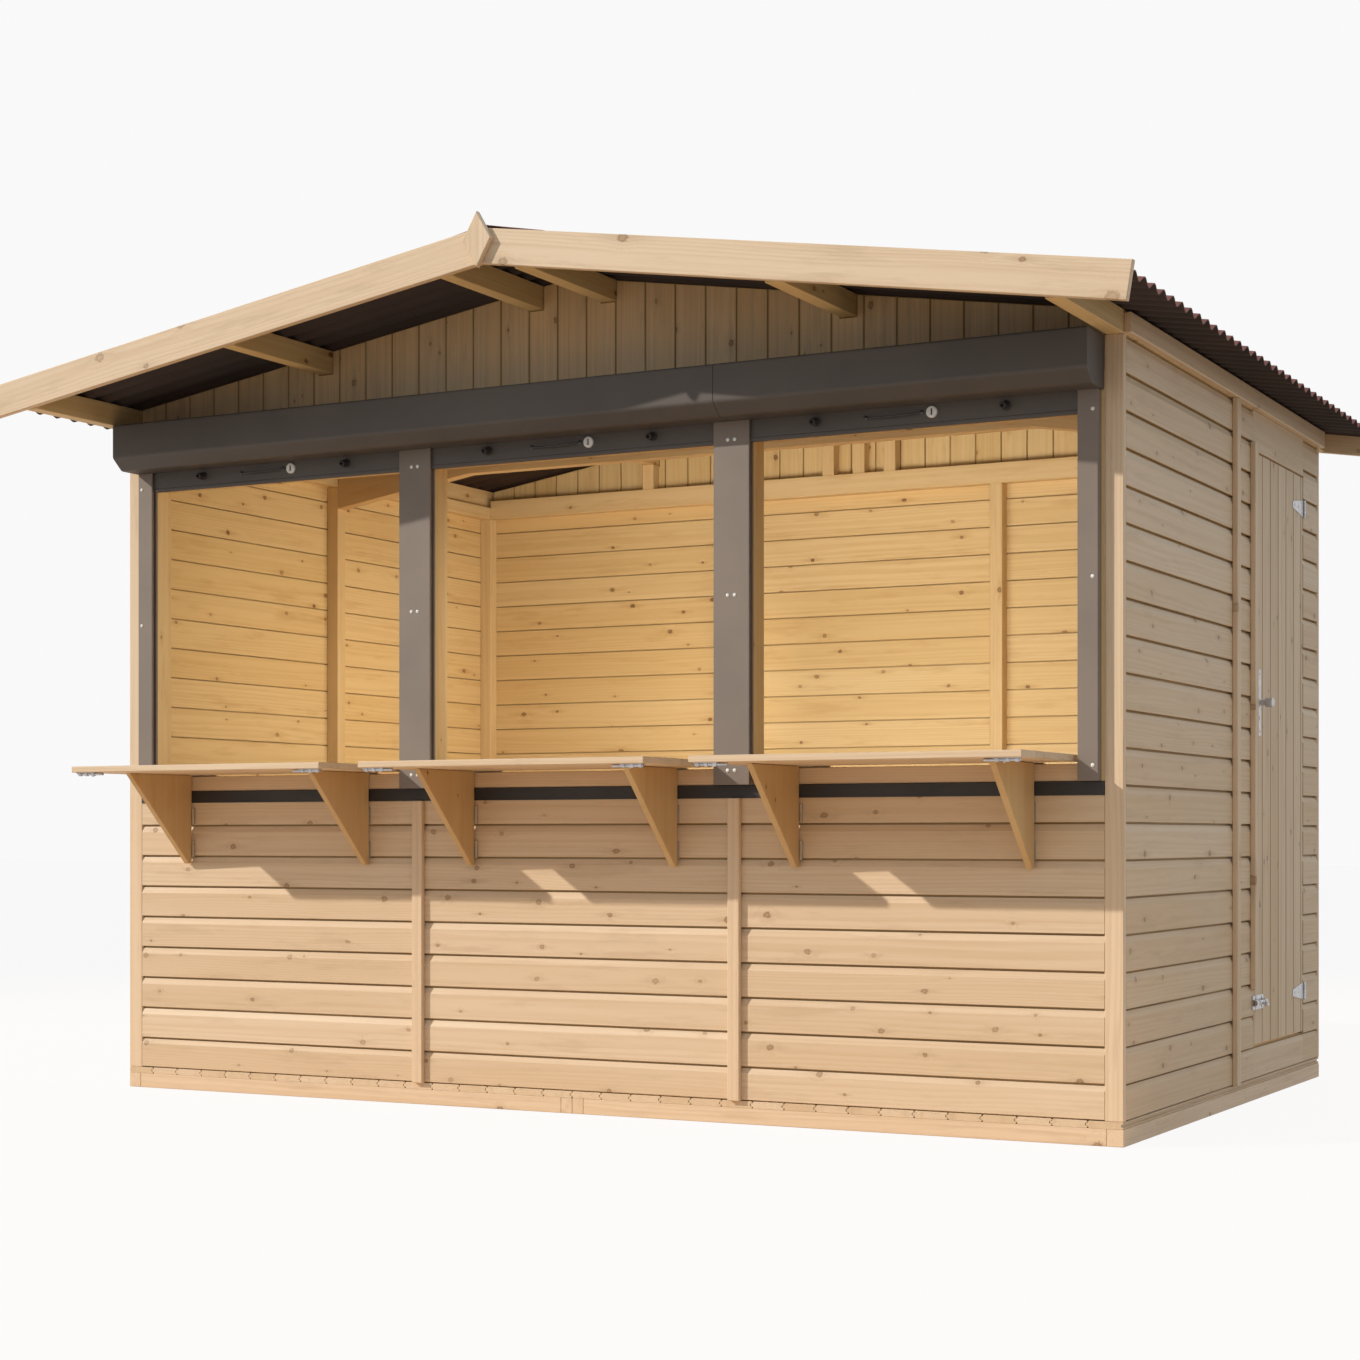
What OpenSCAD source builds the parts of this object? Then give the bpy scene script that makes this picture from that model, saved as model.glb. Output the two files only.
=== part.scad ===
// Timber market stall with a low gable roof, three serving openings under one shutter box,
// three fold-up counters on swing brackets and a ledged side door.
// Millimetres. X runs along the serving front, Y from front to back, Z up from the ground.
// The origin is on the ground at the middle of the floor.

/* [Building] */
// Width over the side walls
stall_w = 3200; // [2900:10:3600]
// Depth from the front wall to the back wall
stall_d = 2050; // [1800:10:2600]
// Visible height of one cladding board
board_cover = 94; // [88:1:98]
// Cladding boards from floor to eaves
side_courses = 21; // [20:1:23]
// Thickness of the cladding boards
clad_t = 20; // [16:1:24]
// Width of the corner boards
corner_w = 50; // [42:1:60]
// Width and depth of the wall studs
stud = 45; // [38:1:50]
// Height of the side plates on top of the studs
plate_h = 45; // [38:1:60]

/* [Floor] */
// Height of the floor joists
joist_h = 44; // [38:1:70]
// Width of the floor joists
joist_w = 44; // [38:1:60]
// Number of joists across the floor, rims included
joist_count = 5; // [3:2:9]
// Thickness of the floor boards
floor_t = 19; // [16:1:24]

/* [Roof] */
// Slope of the roof in degrees
roof_pitch = 9; // [6:0.5:14]
// Roof overhang beyond each side wall
eaves_over = 168; // [120:1:300]
// Roof overhang in front of the front wall
front_over = 478; // [350:1:600]
// Roof overhang behind the back wall
rear_over = 100; // [60:1:250]
// Width of a purlin
purlin_w = 45; // [40:1:60]
// Height of a purlin
purlin_h = 62; // [50:1:80]
// Distance from the ridge to the purlins beside it
ridge_purlin_x = 118; // [90:1:160]
// Depth of a bargeboard
barge_h = 94; // [80:1:120]
// Thickness of a bargeboard
barge_t = 20; // [16:1:25]
// How far a bargeboard stands above the purlin tops
barge_rise = 34; // [26:1:45]
// Half the width of the diamond finial
finial_half_w = 44; // [30:1:60]
// Height of the diamond finial
finial_h = 148; // [120:1:180]
// Thickness of the diamond finial
finial_t = 18; // [12:1:25]
// Distance between the waves of the roof sheets
wave_pitch = 76; // [60:1:100]
// Height of the roof sheets over their waves
wave_h = 20; // [14:1:24]
// Thickness of the roof sheets and of the ridge cap
sheet_t = 3; // [2:0.5:4]
// How far the roof sheets reach past the bargeboard ends
sheet_over = 8; // [0:1:40]
// Half the width of the ridge cap
cap_half_w = 235; // [180:1:300]
// Height of the ridge cap over the wave crests at the ridge
cap_rise = 26; // [15:1:40]

/* [Serving front] */
// Height of the counter tops
counter_z = 985; // [850:1:1100]
// Height of the top of the openings
opening_top = 1840; // [1750:1:1860]
// Width of a shutter guide rail
rail_w = 54; // [44:1:64]
// Depth of a shutter guide rail
rail_d = 27; // [22:1:35]
// Width of the slot that guides the shutter slats
rail_slot = 13; // [10:1:16]
// Depth of the slot that guides the shutter slats
rail_slot_d = 30; // [20:1:36]
// Width of the outer jambs beside the corner studs
outer_jamb_w = 47; // [30:1:80]
// Height of the sill boards under the counters
sill_h = 44; // [35:1:60]
// Height of the metal flashing under the sill boards
flashing_h = 36; // [25:1:50]
// How far the flashing stands in front of the cladding
flashing_proud = 3; // [1:0.5:4]
// Height of the shutters' end slats
slat_h = 60; // [50:1:80]
// Thickness of the shutters' end slats
slat_t = 9; // [8:1:10]
// Depth of the shutter box
box_d = 136; // [110:1:180]
// Height of the shutter box
box_h = 136; // [120:1:150]
// Depth of the slanted lower face of the shutter box
box_slant_d = 40; // [25:1:60]
// Height of the slanted lower face of the shutter box
box_slant_h = 35; // [25:1:60]
// Height of the header beam over the openings
header_h = 100; // [80:1:110]

/* [Counters] */
// Depth of a counter in front of the wall
counter_d = 400; // [320:1:480]
// Thickness of a counter
counter_t = 18; // [15:1:28]
// Gap between a counter and the guide rails on each side
counter_gap = 11.5; // [6:0.5:25]
// Distance from the end of a counter to the middle of its bracket
bracket_inset = 118.5; // [60:0.5:160]
// Depth of a bracket
bracket_d = 284; // [220:1:300]
// Height of a bracket
bracket_h = 270; // [200:1:320]
// Thickness of a bracket
bracket_t = 18; // [15:1:25]
// Width of the blunt lower end of a bracket
bracket_tip = 14; // [8:1:30]
// Length of a bracket hinge
bracket_hinge_len = 50; // [40:1:60]

/* [Door] */
// Width of the door leaf
door_w = 590; // [500:1:640]
// Cladding boards under the doorway
door_foot_courses = 1; // [1:1:2]
// Height of the wall over the doorway
door_head = 117; // [60:1:260]
// Distance from the back wall's outer face to the hinge side of the doorway
door_back = 209; // [180:1:280]
// Gap round the door leaf
door_gap = 6; // [6:0.5:8]
// Length of a door hinge strap
strap_len = 135; // [90:1:200]
// Height of a door hinge strap at its knuckle
strap_h = 54; // [45:1:80]
// Height of the door handle above the door's lower edge
handle_z = 1013; // [900:1:1150]

/* [Trim] */
// Width of the cover battens
batten_w = 36; // [28:1:50]
// How far the cover battens stand in front of the cladding
batten_t = 16; // [10:1:20]
// Height of the trim under the eaves
trim_h = 52; // [40:1:56]
// Thickness of the trim under the eaves
trim_t = 20; // [14:1:25]

/* [Hidden] */
// Clearances
seat = 0.3; // face to face pieces that only rest on each other
notch = 1; // purlins in the gable boards
rail_seam = 1; // between the two rails of a pair
wall_gap = 6; // between a moving bracket and the wall
bracket_play = 1; // between a bracket and the counter it carries
hinge_gap = 5; // between a sill board and its counter

// Building
x_w = stall_w / 2;
y_f = -stall_d / 2;
y_b = stall_d / 2;
floor_z = joist_h + floor_t;
wall_top = floor_z + side_courses * board_cover;
x_in = x_w - clad_t;
x_stud = x_in - stud;
y_in_f = y_f + clad_t;
y_in_b = y_b - clad_t;
x_corner = x_w - corner_w;
stud_top = wall_top - plate_h;
back_plate_rise = 25;

// Serving front
header_rise = 10;
rail_in = x_stud - outer_jamb_w;
opening_w = (2 * rail_in - 4 * rail_w) / 3;
post_pitch = opening_w + 2 * rail_w;
post_x = post_pitch / 2;
openings_x = [-post_pitch, 0, post_pitch];
counter_low = counter_z - counter_t;
sill_top = counter_low - hinge_gap;
sill_low = sill_top - sill_h;
front_top = sill_low - flashing_h;
box_low = opening_top + slat_h;
header_low = opening_top + header_rise;
header_top = header_low + header_h;
slat_y = y_f - rail_d / 2;
stop_r = 11;
stop_l = 24;
stop_x = opening_w * 0.29;
fitting_z = opening_top + slat_h * 0.64;
lock_r = 15;
lock_l = 5;
lock_x = opening_w * 0.07;

// Counters
counter_hinge_r = 2.2;
counter_hinge_y = y_f + 12;
counter_hinge_z = sill_top + hinge_gap / 2;
counter_back = counter_hinge_y - 1.5;
counter_w = opening_w - 2 * counter_gap;
bracket_x = counter_w / 2 - bracket_inset;
counter_leaf = 22;
counter_leaf_t = 1.5;
counter_hinge_len = 120;
counter_hinges_x = [-counter_w / 3, counter_w / 3];
bolt_plate_l = 70;
bolt_plate_w = 24;
bolt_plate_t = 2;
bolt_r = 4.5;
bolt_rod_len = 95;
bolt_inset = 8;
bolt_knob_h = 7;
bracket_top = counter_low - bracket_play;
bracket_low = bracket_top - bracket_h;
bracket_hinge_r = 4.5;
bracket_hinge_y = y_f - wall_gap;
bracket_hinge_in = bracket_hinge_r + 0.5;
bracket_leaf = 26;
bracket_leaf_t = 2;
bracket_hinges_z = [bracket_low + 20, bracket_top - bracket_hinge_len - flashing_h - sill_h - 20];

// Door
door_low = floor_z + door_foot_courses * board_cover + door_gap;
door_top = wall_top - door_head - door_gap;
door_y1 = y_b - door_back - door_gap;
door_y0 = door_y1 - door_w;
way_y0 = door_y0 - door_gap;
way_y1 = door_y1 + door_gap;
way_low = door_low - door_gap;
way_top = wall_top - door_head;
ledge_w = 90;
ledge_t = 20;
ledge_inset = 170;
door_edge = 40;
strap_t = 2.5;
strap_tip = 22;
door_pin_r = 4.5;
door_pin_x = x_w + door_pin_r + 0.5;
strap_end = 1.3;
door_pin_y = door_y1 + door_gap / 2;
strap_low_inset = 101;
strap_top_inset = 72;
strap_z = [door_low + strap_low_inset, door_top - strap_top_inset - strap_h];
jamb_leaf_w = 30;
handle_inset = 55;
handle_plate_w = 30;
handle_plate_h = 200;
handle_plate_t = 3;
knob_r = 14;
knob_neck_r = 8;
knob_out = 45;
knob_l = 20;
door_bolt_z = 125;
door_bolt_l = 90;
door_bolt_h = 42;
door_bolt_t = 3;
door_bolt_r = 7;
door_bolt_x = x_w + door_bolt_t + door_bolt_r - 1;
keeper_w = 22;
keeper_play = 0.8;
keeper_wall = 2;

// Roof: a slope's own frame has its first axis down the slope and its second square to it
rise = tan(roof_pitch);
eave_purlin_x = x_w - purlin_w / 2;
mid_purlin_x = (ridge_purlin_x + eave_purlin_x) / 2;
slope_len = (x_w + eaves_over) / cos(roof_pitch);
ridge_z = wall_top + purlin_h + rise * eave_purlin_x;
purlins_x = [ridge_purlin_x, mid_purlin_x, eave_purlin_x];
barge_front = y_f - front_over;
barge_back = y_b + rear_over;
roof_y0 = barge_front + barge_t;
roof_y1 = barge_back - barge_t;
crest_z = ridge_z + (wave_h + seat) / cos(roof_pitch);
sheet_ridge_gap = 15;
wave_steps = 8;
sheet_l = roof_y1 - roof_y0 - 2 * seat;
wave_points = round(sheet_l / wave_pitch) * wave_steps;
truss_t = 45;
truss_rafter_h = 125;
truss_drop = 37;
truss_tie_z = wall_top - truss_drop;
truss_tie_h = 94;
truss_top = ridge_z - purlin_h - rise * purlin_w / 2;
truss_under = truss_top - truss_rafter_h;
truss_knee_x = (truss_under - truss_tie_z) / rise;
truss_gap_x = (truss_under - truss_tie_z - truss_tie_h) / rise;

// Colours
spruce = [0.88, 0.76, 0.62];
honey = [0.80, 0.62, 0.38];
slate = [0.27, 0.26, 0.26];
zinc = [0.78, 0.78, 0.80];
oxide = [0.36, 0.13, 0.13];
black = [0.08, 0.08, 0.08];
white = [0.92, 0.92, 0.92];

// Shared shapes

// A box between two corners
module bar(x0, x1, y0, y1, z0, z1) {
  translate([x0, y0, z0]) cube([x1 - x0, y1 - y0, z1 - z0]);
}

// The same box on the right and, mirrored, on the left
module bar_pair(x0, x1, y0, y1, z0, z1) {
  bar(x0, x1, y0, y1, z0, z1);
  bar(-x1, -x0, y0, y1, z0, z1);
}

// An outline drawn in X and Z, with a thickness along Y
module slab_y(y0, y1) {
  translate([0, y1, 0]) rotate([90, 0, 0]) linear_extrude(y1 - y0) children();
}

// An outline drawn in Y and Z, with a length along X
module slab_x(x0, x1) {
  translate([x0, 0, 0]) rotate([90, 0, 90]) linear_extrude(x1 - x0) children();
}

// Height of the purlin tops at a distance from the ridge
function slope_z(x) = ridge_z - rise * abs(x);

// Places a shape made in the right slope's own frame on the right (1) or left (-1) slope
module on_slope(side) {
  mirror([side < 0 ? 1 : 0, 0, 0]) translate([0, 0, ridge_z]) rotate([0, roof_pitch, 0]) children();
}

// Outline of one purlin, its top cut to the slope, at a distance from the ridge
module purlin_outline(x, play) {
  x0 = x - purlin_w / 2 - play;
  x1 = x + purlin_w / 2 + play;
  low = slope_z(x) - purlin_h - play;
  polygon([[x0, low], [x1, low], [x1, slope_z(x1) + play], [x0, slope_z(x0) + play]]);
}

// Outline of a gable from a given height up to the purlin tops, notched for the purlins
module gable_outline(low) {
  difference() {
    polygon([
      [-x_corner, low], [x_corner, low], [x_corner, slope_z(x_corner)], [0, ridge_z],
      [-x_corner, slope_z(x_corner)]
    ]);
    for (x = purlins_x) {
      purlin_outline(x, notch);
      mirror([1, 0]) purlin_outline(x, notch);
    }
  }
}

// Floor

module floor_frame() {
  step = (stall_d - joist_w) / (joist_count - 1);
  end = x_w - joist_w - seat;
  color(spruce) {
    bar_pair(x_w - joist_w, x_w, y_f, y_b, 0, joist_h);
    for (i = [0:joist_count - 1]) bar(-end, end, y_f + i * step, y_f + i * step + joist_w, 0, joist_h);
  }
}

module floor_boards() {
  color(spruce) bar(-x_w, x_w, y_f, y_b, joist_h, floor_z);
}

// Walls

module corner_boards() {
  color(spruce) {
    bar_pair(x_corner, x_w, y_f, y_in_f, floor_z, wall_top);
    bar_pair(x_corner, x_w, y_in_b, y_b, floor_z, wall_top);
  }
}

module front_wall() {
  color(spruce) bar(-x_corner, x_corner, y_f, y_in_f, floor_z, front_top);
}

module left_wall() {
  color(spruce) bar(-x_w, -x_in, y_in_f, y_in_b, floor_z, wall_top);
}

// Beside, under and over the doorway
module right_wall() {
  color(spruce) {
    bar(x_in, x_w, y_in_f, way_y0, floor_z, wall_top);
    bar(x_in, x_w, way_y1, y_in_b, floor_z, wall_top);
    bar(x_in, x_w, way_y0 + seat, way_y1 - seat, floor_z, way_low);
    bar(x_in, x_w, way_y0 + seat, way_y1 - seat, way_top, wall_top);
  }
}

module back_wall() {
  color(spruce) bar(-x_corner, x_corner, y_in_b, y_b, floor_z, wall_top);
}

module gables() {
  color(spruce) {
    slab_y(y_f, y_in_f) gable_outline(header_top);
    slab_y(y_in_b, y_b) gable_outline(wall_top);
  }
}

// Frame inside the walls

module wall_studs() {
  color(honey) {
    for (y = [y_in_f, -stud / 2, y_in_b - stud]) bar_pair(x_stud, x_in, y, y + stud, floor_z, stud_top);
    bar_pair(post_x - stud / 2, post_x + stud / 2, y_in_b - stud, y_in_b, floor_z, stud_top);
    for (y = [way_y0 - stud, way_y1]) bar(x_stud, x_in, y, y + stud, floor_z, stud_top);
  }
}

// A jamb stands behind the lower cladding and comes forward to carry the rails above the flashing
module jamb(x0, x1) {
  y1 = y_in_f + stud;
  slab_x(x0, x1)
    polygon([
      [y_in_f, floor_z], [y1, floor_z], [y1, header_low], [y_f, header_low], [y_f, sill_low],
      [y_in_f, sill_low]
    ]);
}

module front_jambs() {
  color(honey) {
    bar_pair(rail_in, x_corner, y_f, y_in_f, sill_low, header_low);
    jamb(-x_stud, -rail_in);
    jamb(-post_x - rail_w, -post_x + rail_w);
    jamb(post_x - rail_w, post_x + rail_w);
    jamb(rail_in, x_stud);
  }
}

// Header beam over the openings and plates on top of the back and side walls
module top_plates() {
  end = x_stud - seat;
  color(honey) {
    bar(-x_corner, x_corner, y_f, y_in_f, header_low, header_top);
    bar(-end, end, y_f, y_in_f + stud, header_low, header_top);
    bar(-end, end, y_in_b - stud, y_in_b, stud_top, wall_top + back_plate_rise);
    bar_pair(x_stud, x_in, y_in_f, y_in_b, stud_top, wall_top);
  }
}

// Short studs that carry the purlins on the gables
module gable_studs() {
  color(honey)
    for (base = [[y_in_f, header_top], [y_in_b - stud, wall_top + back_plate_rise]]) {
      for (x = [ridge_purlin_x, mid_purlin_x])
        bar_pair(x - stud / 2, x + stud / 2, base[0], base[0] + stud, base[1], slope_z(x) - purlin_h - seat);
      bar(-stud / 2, stud / 2, base[0], base[0] + stud, base[1], slope_z(stud / 2));
    }
}

// Trim

// The last one covers the joint on the closing side of the door, above the bolt
module cover_battens() {
  strip_low = door_low + door_bolt_z + door_bolt_h;
  color(spruce) {
    bar_pair(post_x - batten_w / 2, post_x + batten_w / 2, y_f - batten_t, y_f, floor_z, front_top);
    bar_pair(post_x - batten_w / 2, post_x + batten_w / 2, y_b, y_b + batten_t, floor_z, wall_top);
    bar_pair(x_w, x_w + batten_t, -batten_w / 2, batten_w / 2, floor_z, wall_top);
    bar(x_w, x_w + batten_t, way_y0 - batten_w, way_y0, strip_low, way_top + batten_w / 2);
  }
}

module eaves_trims() {
  color(spruce) bar_pair(x_w, x_w + trim_t, y_f, y_b, wall_top, wall_top + trim_h);
}

// Door

module door_leaf() {
  color(spruce) {
    bar(x_in, x_w, door_y0, door_y1, door_low, door_top);
    for (z = [door_low + ledge_inset, door_top - ledge_inset - ledge_w])
      bar(x_in - ledge_t, x_in, door_y0 + door_edge, door_y1 - door_edge, z, z + ledge_w);
  }
}

// Tapered strap on the leaf, ending short of the hinge pin
module strap(z) {
  mid = z + strap_h / 2;
  root = door_y1 - strap_end;
  tip = door_y1 - strap_len;
  slab_x(x_w, x_w + strap_t)
    polygon([[root, z], [root, z + strap_h], [tip, mid + strap_tip / 2], [tip, mid - strap_tip / 2]]);
}

module knob() {
  translate([x_w, door_y0 + handle_inset, door_low + handle_z]) rotate([0, 90, 0]) {
    cylinder(r = knob_neck_r, h = knob_out - knob_l, $fn = 32);
    translate([0, 0, knob_out - knob_l]) cylinder(r = knob_r, h = knob_l, $fn = 32);
  }
}

module door_furniture() {
  y = door_y0 + handle_inset;
  z = door_low + handle_z;
  bolt_z = door_low + door_bolt_z;
  color(zinc) {
    for (s = strap_z) strap(s);
    bar(
      x_w, x_w + handle_plate_t, y - handle_plate_w / 2, y + handle_plate_w / 2,
      z - handle_plate_h / 2, z + handle_plate_h / 2
    );
    knob();
    bar(
      x_w, x_w + door_bolt_t, door_y0 + door_gap, door_y0 + door_gap + door_bolt_l,
      bolt_z - door_bolt_h / 2, bolt_z + door_bolt_h / 2
    );
    translate([door_bolt_x, door_y0, bolt_z]) rotate([-90, 0, 0])
      cylinder(r = door_bolt_r, h = door_bolt_l, $fn = 24);
  }
}

// Hinge pins with their leaves on the wall behind the door, and the keeper of the door bolt
module door_fixings() {
  bolt_z = door_low + door_bolt_z;
  color(zinc) {
    for (z = strap_z) {
      translate([door_pin_x, door_pin_y, z]) cylinder(r = door_pin_r, h = strap_h, $fn = 24);
      bar(x_w, x_w + strap_t, door_pin_y, door_pin_y + jamb_leaf_w, z, z + strap_h);
    }
    difference() {
      bar(
        x_w, door_bolt_x + door_bolt_r + keeper_play + keeper_wall, way_y0 - keeper_w, way_y0,
        bolt_z - door_bolt_h / 2, bolt_z + door_bolt_h / 2
      );
      translate([door_bolt_x, way_y0 - keeper_w - 1, bolt_z]) rotate([-90, 0, 0])
        cylinder(r = door_bolt_r + keeper_play, h = keeper_w + 2, $fn = 24);
    }
  }
}

// Serving front

module sill_boards() {
  color(honey)
    for (x = openings_x)
      bar(x - opening_w / 2, x + opening_w / 2, y_f, y_in_f + stud, sill_low, sill_top);
}

module sill_flashing() {
  color(slate) bar(-x_corner, x_corner, y_f - flashing_proud, y_in_f, front_top, sill_low);
}

// Guide rail on the right (1) or left (-1) of an opening, its slot towards the opening
module rail(x, side) {
  w = rail_w - rail_seam / 2;
  y0 = y_f - rail_d;
  y1 = y_f;
  slot_y0 = slat_y - rail_slot / 2;
  slot_y1 = slat_y + rail_slot / 2;
  translate([x, 0, sill_low]) mirror([side < 0 ? 1 : 0, 0, 0]) translate([opening_w / 2, 0, 0])
    linear_extrude(box_low - sill_low)
      polygon([
        [0, y0], [w, y0], [w, y1], [0, y1], [0, slot_y1], [rail_slot_d, slot_y1],
        [rail_slot_d, slot_y0], [0, slot_y0]
      ]);
}

module guide_rails() {
  color(slate) for (x = openings_x, side = [-1, 1]) rail(x, side);
}

module shutter_box() {
  top = box_low + box_h;
  front = y_f - box_d;
  color(slate) slab_x(-x_corner, x_corner)
    polygon([
      [y_f, box_low], [front + box_slant_d, box_low], [front, box_low + box_slant_h],
      [front, top], [y_f, top]
    ]);
}

module end_slats() {
  reach = opening_w / 2 + rail_slot_d / 2;
  color(slate)
    for (x = openings_x)
      bar(x - reach, x + reach, slat_y - slat_t / 2, slat_y + slat_t / 2, opening_top, box_low);
}

// A round fitting on the face of an end slat
module slat_stud(x, r, l) {
  translate([x, slat_y - slat_t / 2, fitting_z]) rotate([90, 0, 0]) cylinder(r = r, h = l, $fn = 32);
}

module shutter_stops() {
  color(black)
    for (x = openings_x, side = [-1, 1]) slat_stud(x + side * stop_x, stop_r, stop_l);
}

module shutter_locks() {
  color(white) for (x = openings_x) slat_stud(x + lock_x, lock_r, lock_l);
}

// Counters

module counter(x) {
  color(spruce)
    bar(x - counter_w / 2, x + counter_w / 2, y_f - counter_d, counter_back, counter_low, counter_z);
}

module left_counter() { counter(openings_x[0]); }
module middle_counter() { counter(openings_x[1]); }
module right_counter() { counter(openings_x[2]); }

// Barrel bolt under a front corner of a counter: a plate, its rod and the rod's knob
module barrel_bolt(x, side) {
  y = y_f - counter_d + bolt_inset + bolt_plate_w / 2;
  drop = bolt_r + seat;
  translate([x, y, counter_low]) mirror([side < 0 ? 1 : 0, 0, 0]) {
    bar(-bolt_plate_l, 0, -bolt_plate_w / 2, bolt_plate_w / 2, -bolt_plate_t, 0);
    translate([-bolt_rod_len, 0, -drop]) rotate([0, 90, 0])
      cylinder(r = bolt_r, h = bolt_rod_len, $fn = 24);
    translate([-bolt_plate_l, 0, -drop - bolt_knob_h]) cylinder(r = bolt_r - 1, h = bolt_knob_h, $fn = 24);
  }
}

module counter_bolts(x) {
  color(zinc)
    for (side = [-1, 1]) barrel_bolt(x + side * (counter_w / 2 - bolt_inset), side);
}

module left_counter_bolts() { counter_bolts(openings_x[0]); }
module middle_counter_bolts() { counter_bolts(openings_x[1]); }
module right_counter_bolts() { counter_bolts(openings_x[2]); }

// Triangular bracket: the left one of a pair has side -1, the right one 1
module bracket(x, side) {
  at = x + side * bracket_x;
  front = bracket_hinge_y - bracket_d;
  color(spruce) slab_x(at - bracket_t / 2, at + bracket_t / 2)
    polygon([
      [bracket_hinge_y, bracket_top], [front, bracket_top],
      [bracket_hinge_y - bracket_tip, bracket_low], [bracket_hinge_y, bracket_low]
    ]);
}

module left_bracket_a() { bracket(openings_x[0], -1); }
module left_bracket_b() { bracket(openings_x[0], 1); }
module middle_bracket_a() { bracket(openings_x[1], -1); }
module middle_bracket_b() { bracket(openings_x[1], 1); }
module right_bracket_a() { bracket(openings_x[2], -1); }
module right_bracket_b() { bracket(openings_x[2], 1); }

// Barrel of a bracket hinge with its leaf on the wall
module bracket_hinge(x, side, z) {
  pin = x + side * (bracket_x - bracket_t / 2 - bracket_hinge_in);
  far = pin + side * bracket_leaf;
  translate([pin, bracket_hinge_y, z]) cylinder(r = bracket_hinge_r, h = bracket_hinge_len, $fn = 24);
  bar(min(pin, far), max(pin, far), y_f - bracket_leaf_t, y_f, z, z + bracket_hinge_len);
}

module bracket_hinges() {
  color(zinc)
    for (x = openings_x, side = [-1, 1], z = bracket_hinges_z) bracket_hinge(x, side, z);
}

// Barrels of the counter hinges with their leaves on the sill boards
module counter_hinges() {
  half = counter_hinge_len / 2;
  color(zinc)
    for (x = openings_x, at = counter_hinges_x) {
      translate([x + at - half, counter_hinge_y, counter_hinge_z]) rotate([0, 90, 0])
        cylinder(r = counter_hinge_r, h = counter_hinge_len, $fn = 24);
      bar(x + at - half, x + at + half, counter_hinge_y, counter_hinge_y + counter_leaf,
        sill_top, sill_top + counter_leaf_t);
    }
}

// Roof

module purlins() {
  color(spruce)
    for (x = purlins_x) {
      slab_y(roof_y0, roof_y1) purlin_outline(x, 0);
      slab_y(roof_y0, roof_y1) mirror([1, 0]) purlin_outline(x, 0);
    }
}

// Truss across the middle: two rafters and a tie, open between them
module roof_truss() {
  end = x_stud;
  color(honey) slab_y(-truss_t / 2, truss_t / 2) difference() {
    polygon([
      [-end, truss_top - rise * end], [-end, truss_under - rise * end], [-truss_knee_x, truss_tie_z],
      [truss_knee_x, truss_tie_z], [end, truss_under - rise * end], [end, truss_top - rise * end],
      [0, truss_top]
    ]);
    polygon([
      [-truss_gap_x, truss_tie_z + truss_tie_h], [truss_gap_x, truss_tie_z + truss_tie_h],
      [0, truss_under]
    ]);
  }
}

// One sloping bargeboard, cut plumb at the ridge and square at the eaves
module bargeboard(side, y0) {
  low = barge_rise - barge_h;
  plumb = tan(roof_pitch);
  on_slope(side) slab_y(y0, y0 + barge_t)
    polygon([
      [-low * plumb + seat, low], [slope_len, low], [slope_len, barge_rise],
      [-barge_rise * plumb + seat, barge_rise]
    ]);
}

module bargeboards() {
  color(spruce)
    for (side = [-1, 1], y = [barge_front, barge_back - barge_t]) bargeboard(side, y);
}

module finials() {
  color(spruce)
    for (y = [barge_front - finial_t, barge_back])
      slab_y(y, y + finial_t)
        polygon([
          [0, ridge_z - finial_h / 2], [finial_half_w, ridge_z], [0, ridge_z + finial_h / 2],
          [-finial_half_w, ridge_z]
        ]);
}

// Height of the sheet's underside over the purlins after a number of steps
function wave(i) = (wave_h - sheet_t) * (1 - cos(360 * i / wave_steps)) / 2;

// Corrugated sheet: the wave runs from front to back and is drawn out down the slope
module roof_sheet(side) {
  step = sheet_l / wave_points;
  under = [for (i = [0:wave_points]) [roof_y0 + seat + i * step, wave(i)]];
  over = [for (i = [wave_points:-1:0]) [roof_y0 + seat + i * step, wave(i) + sheet_t]];
  color(oxide) on_slope(side) translate([0, 0, seat])
    slab_x(sheet_ridge_gap, slope_len + sheet_over) polygon(concat(under, over));
}

module left_roof_sheet() { roof_sheet(-1); }
module right_roof_sheet() { roof_sheet(1); }

// Bent ridge cap that lies on the wave crests
module ridge_cap() {
  edge_z = crest_z - rise * cap_half_w + seat;
  bend_x = cap_half_w * 0.8;
  bend_z = crest_z - rise * bend_x + cap_rise * 0.7;
  apex_z = crest_z + cap_rise;
  under = [
    [-cap_half_w, edge_z], [-bend_x, bend_z - sheet_t], [0, apex_z - sheet_t], [bend_x, bend_z - sheet_t],
    [cap_half_w, edge_z]
  ];
  over = [
    [cap_half_w, edge_z + sheet_t], [bend_x, bend_z], [0, apex_z], [-bend_x, bend_z],
    [-cap_half_w, edge_z + sheet_t]
  ];
  color(oxide) slab_y(roof_y0 + seat, roof_y1 - seat) polygon(concat(under, over));
}

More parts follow.
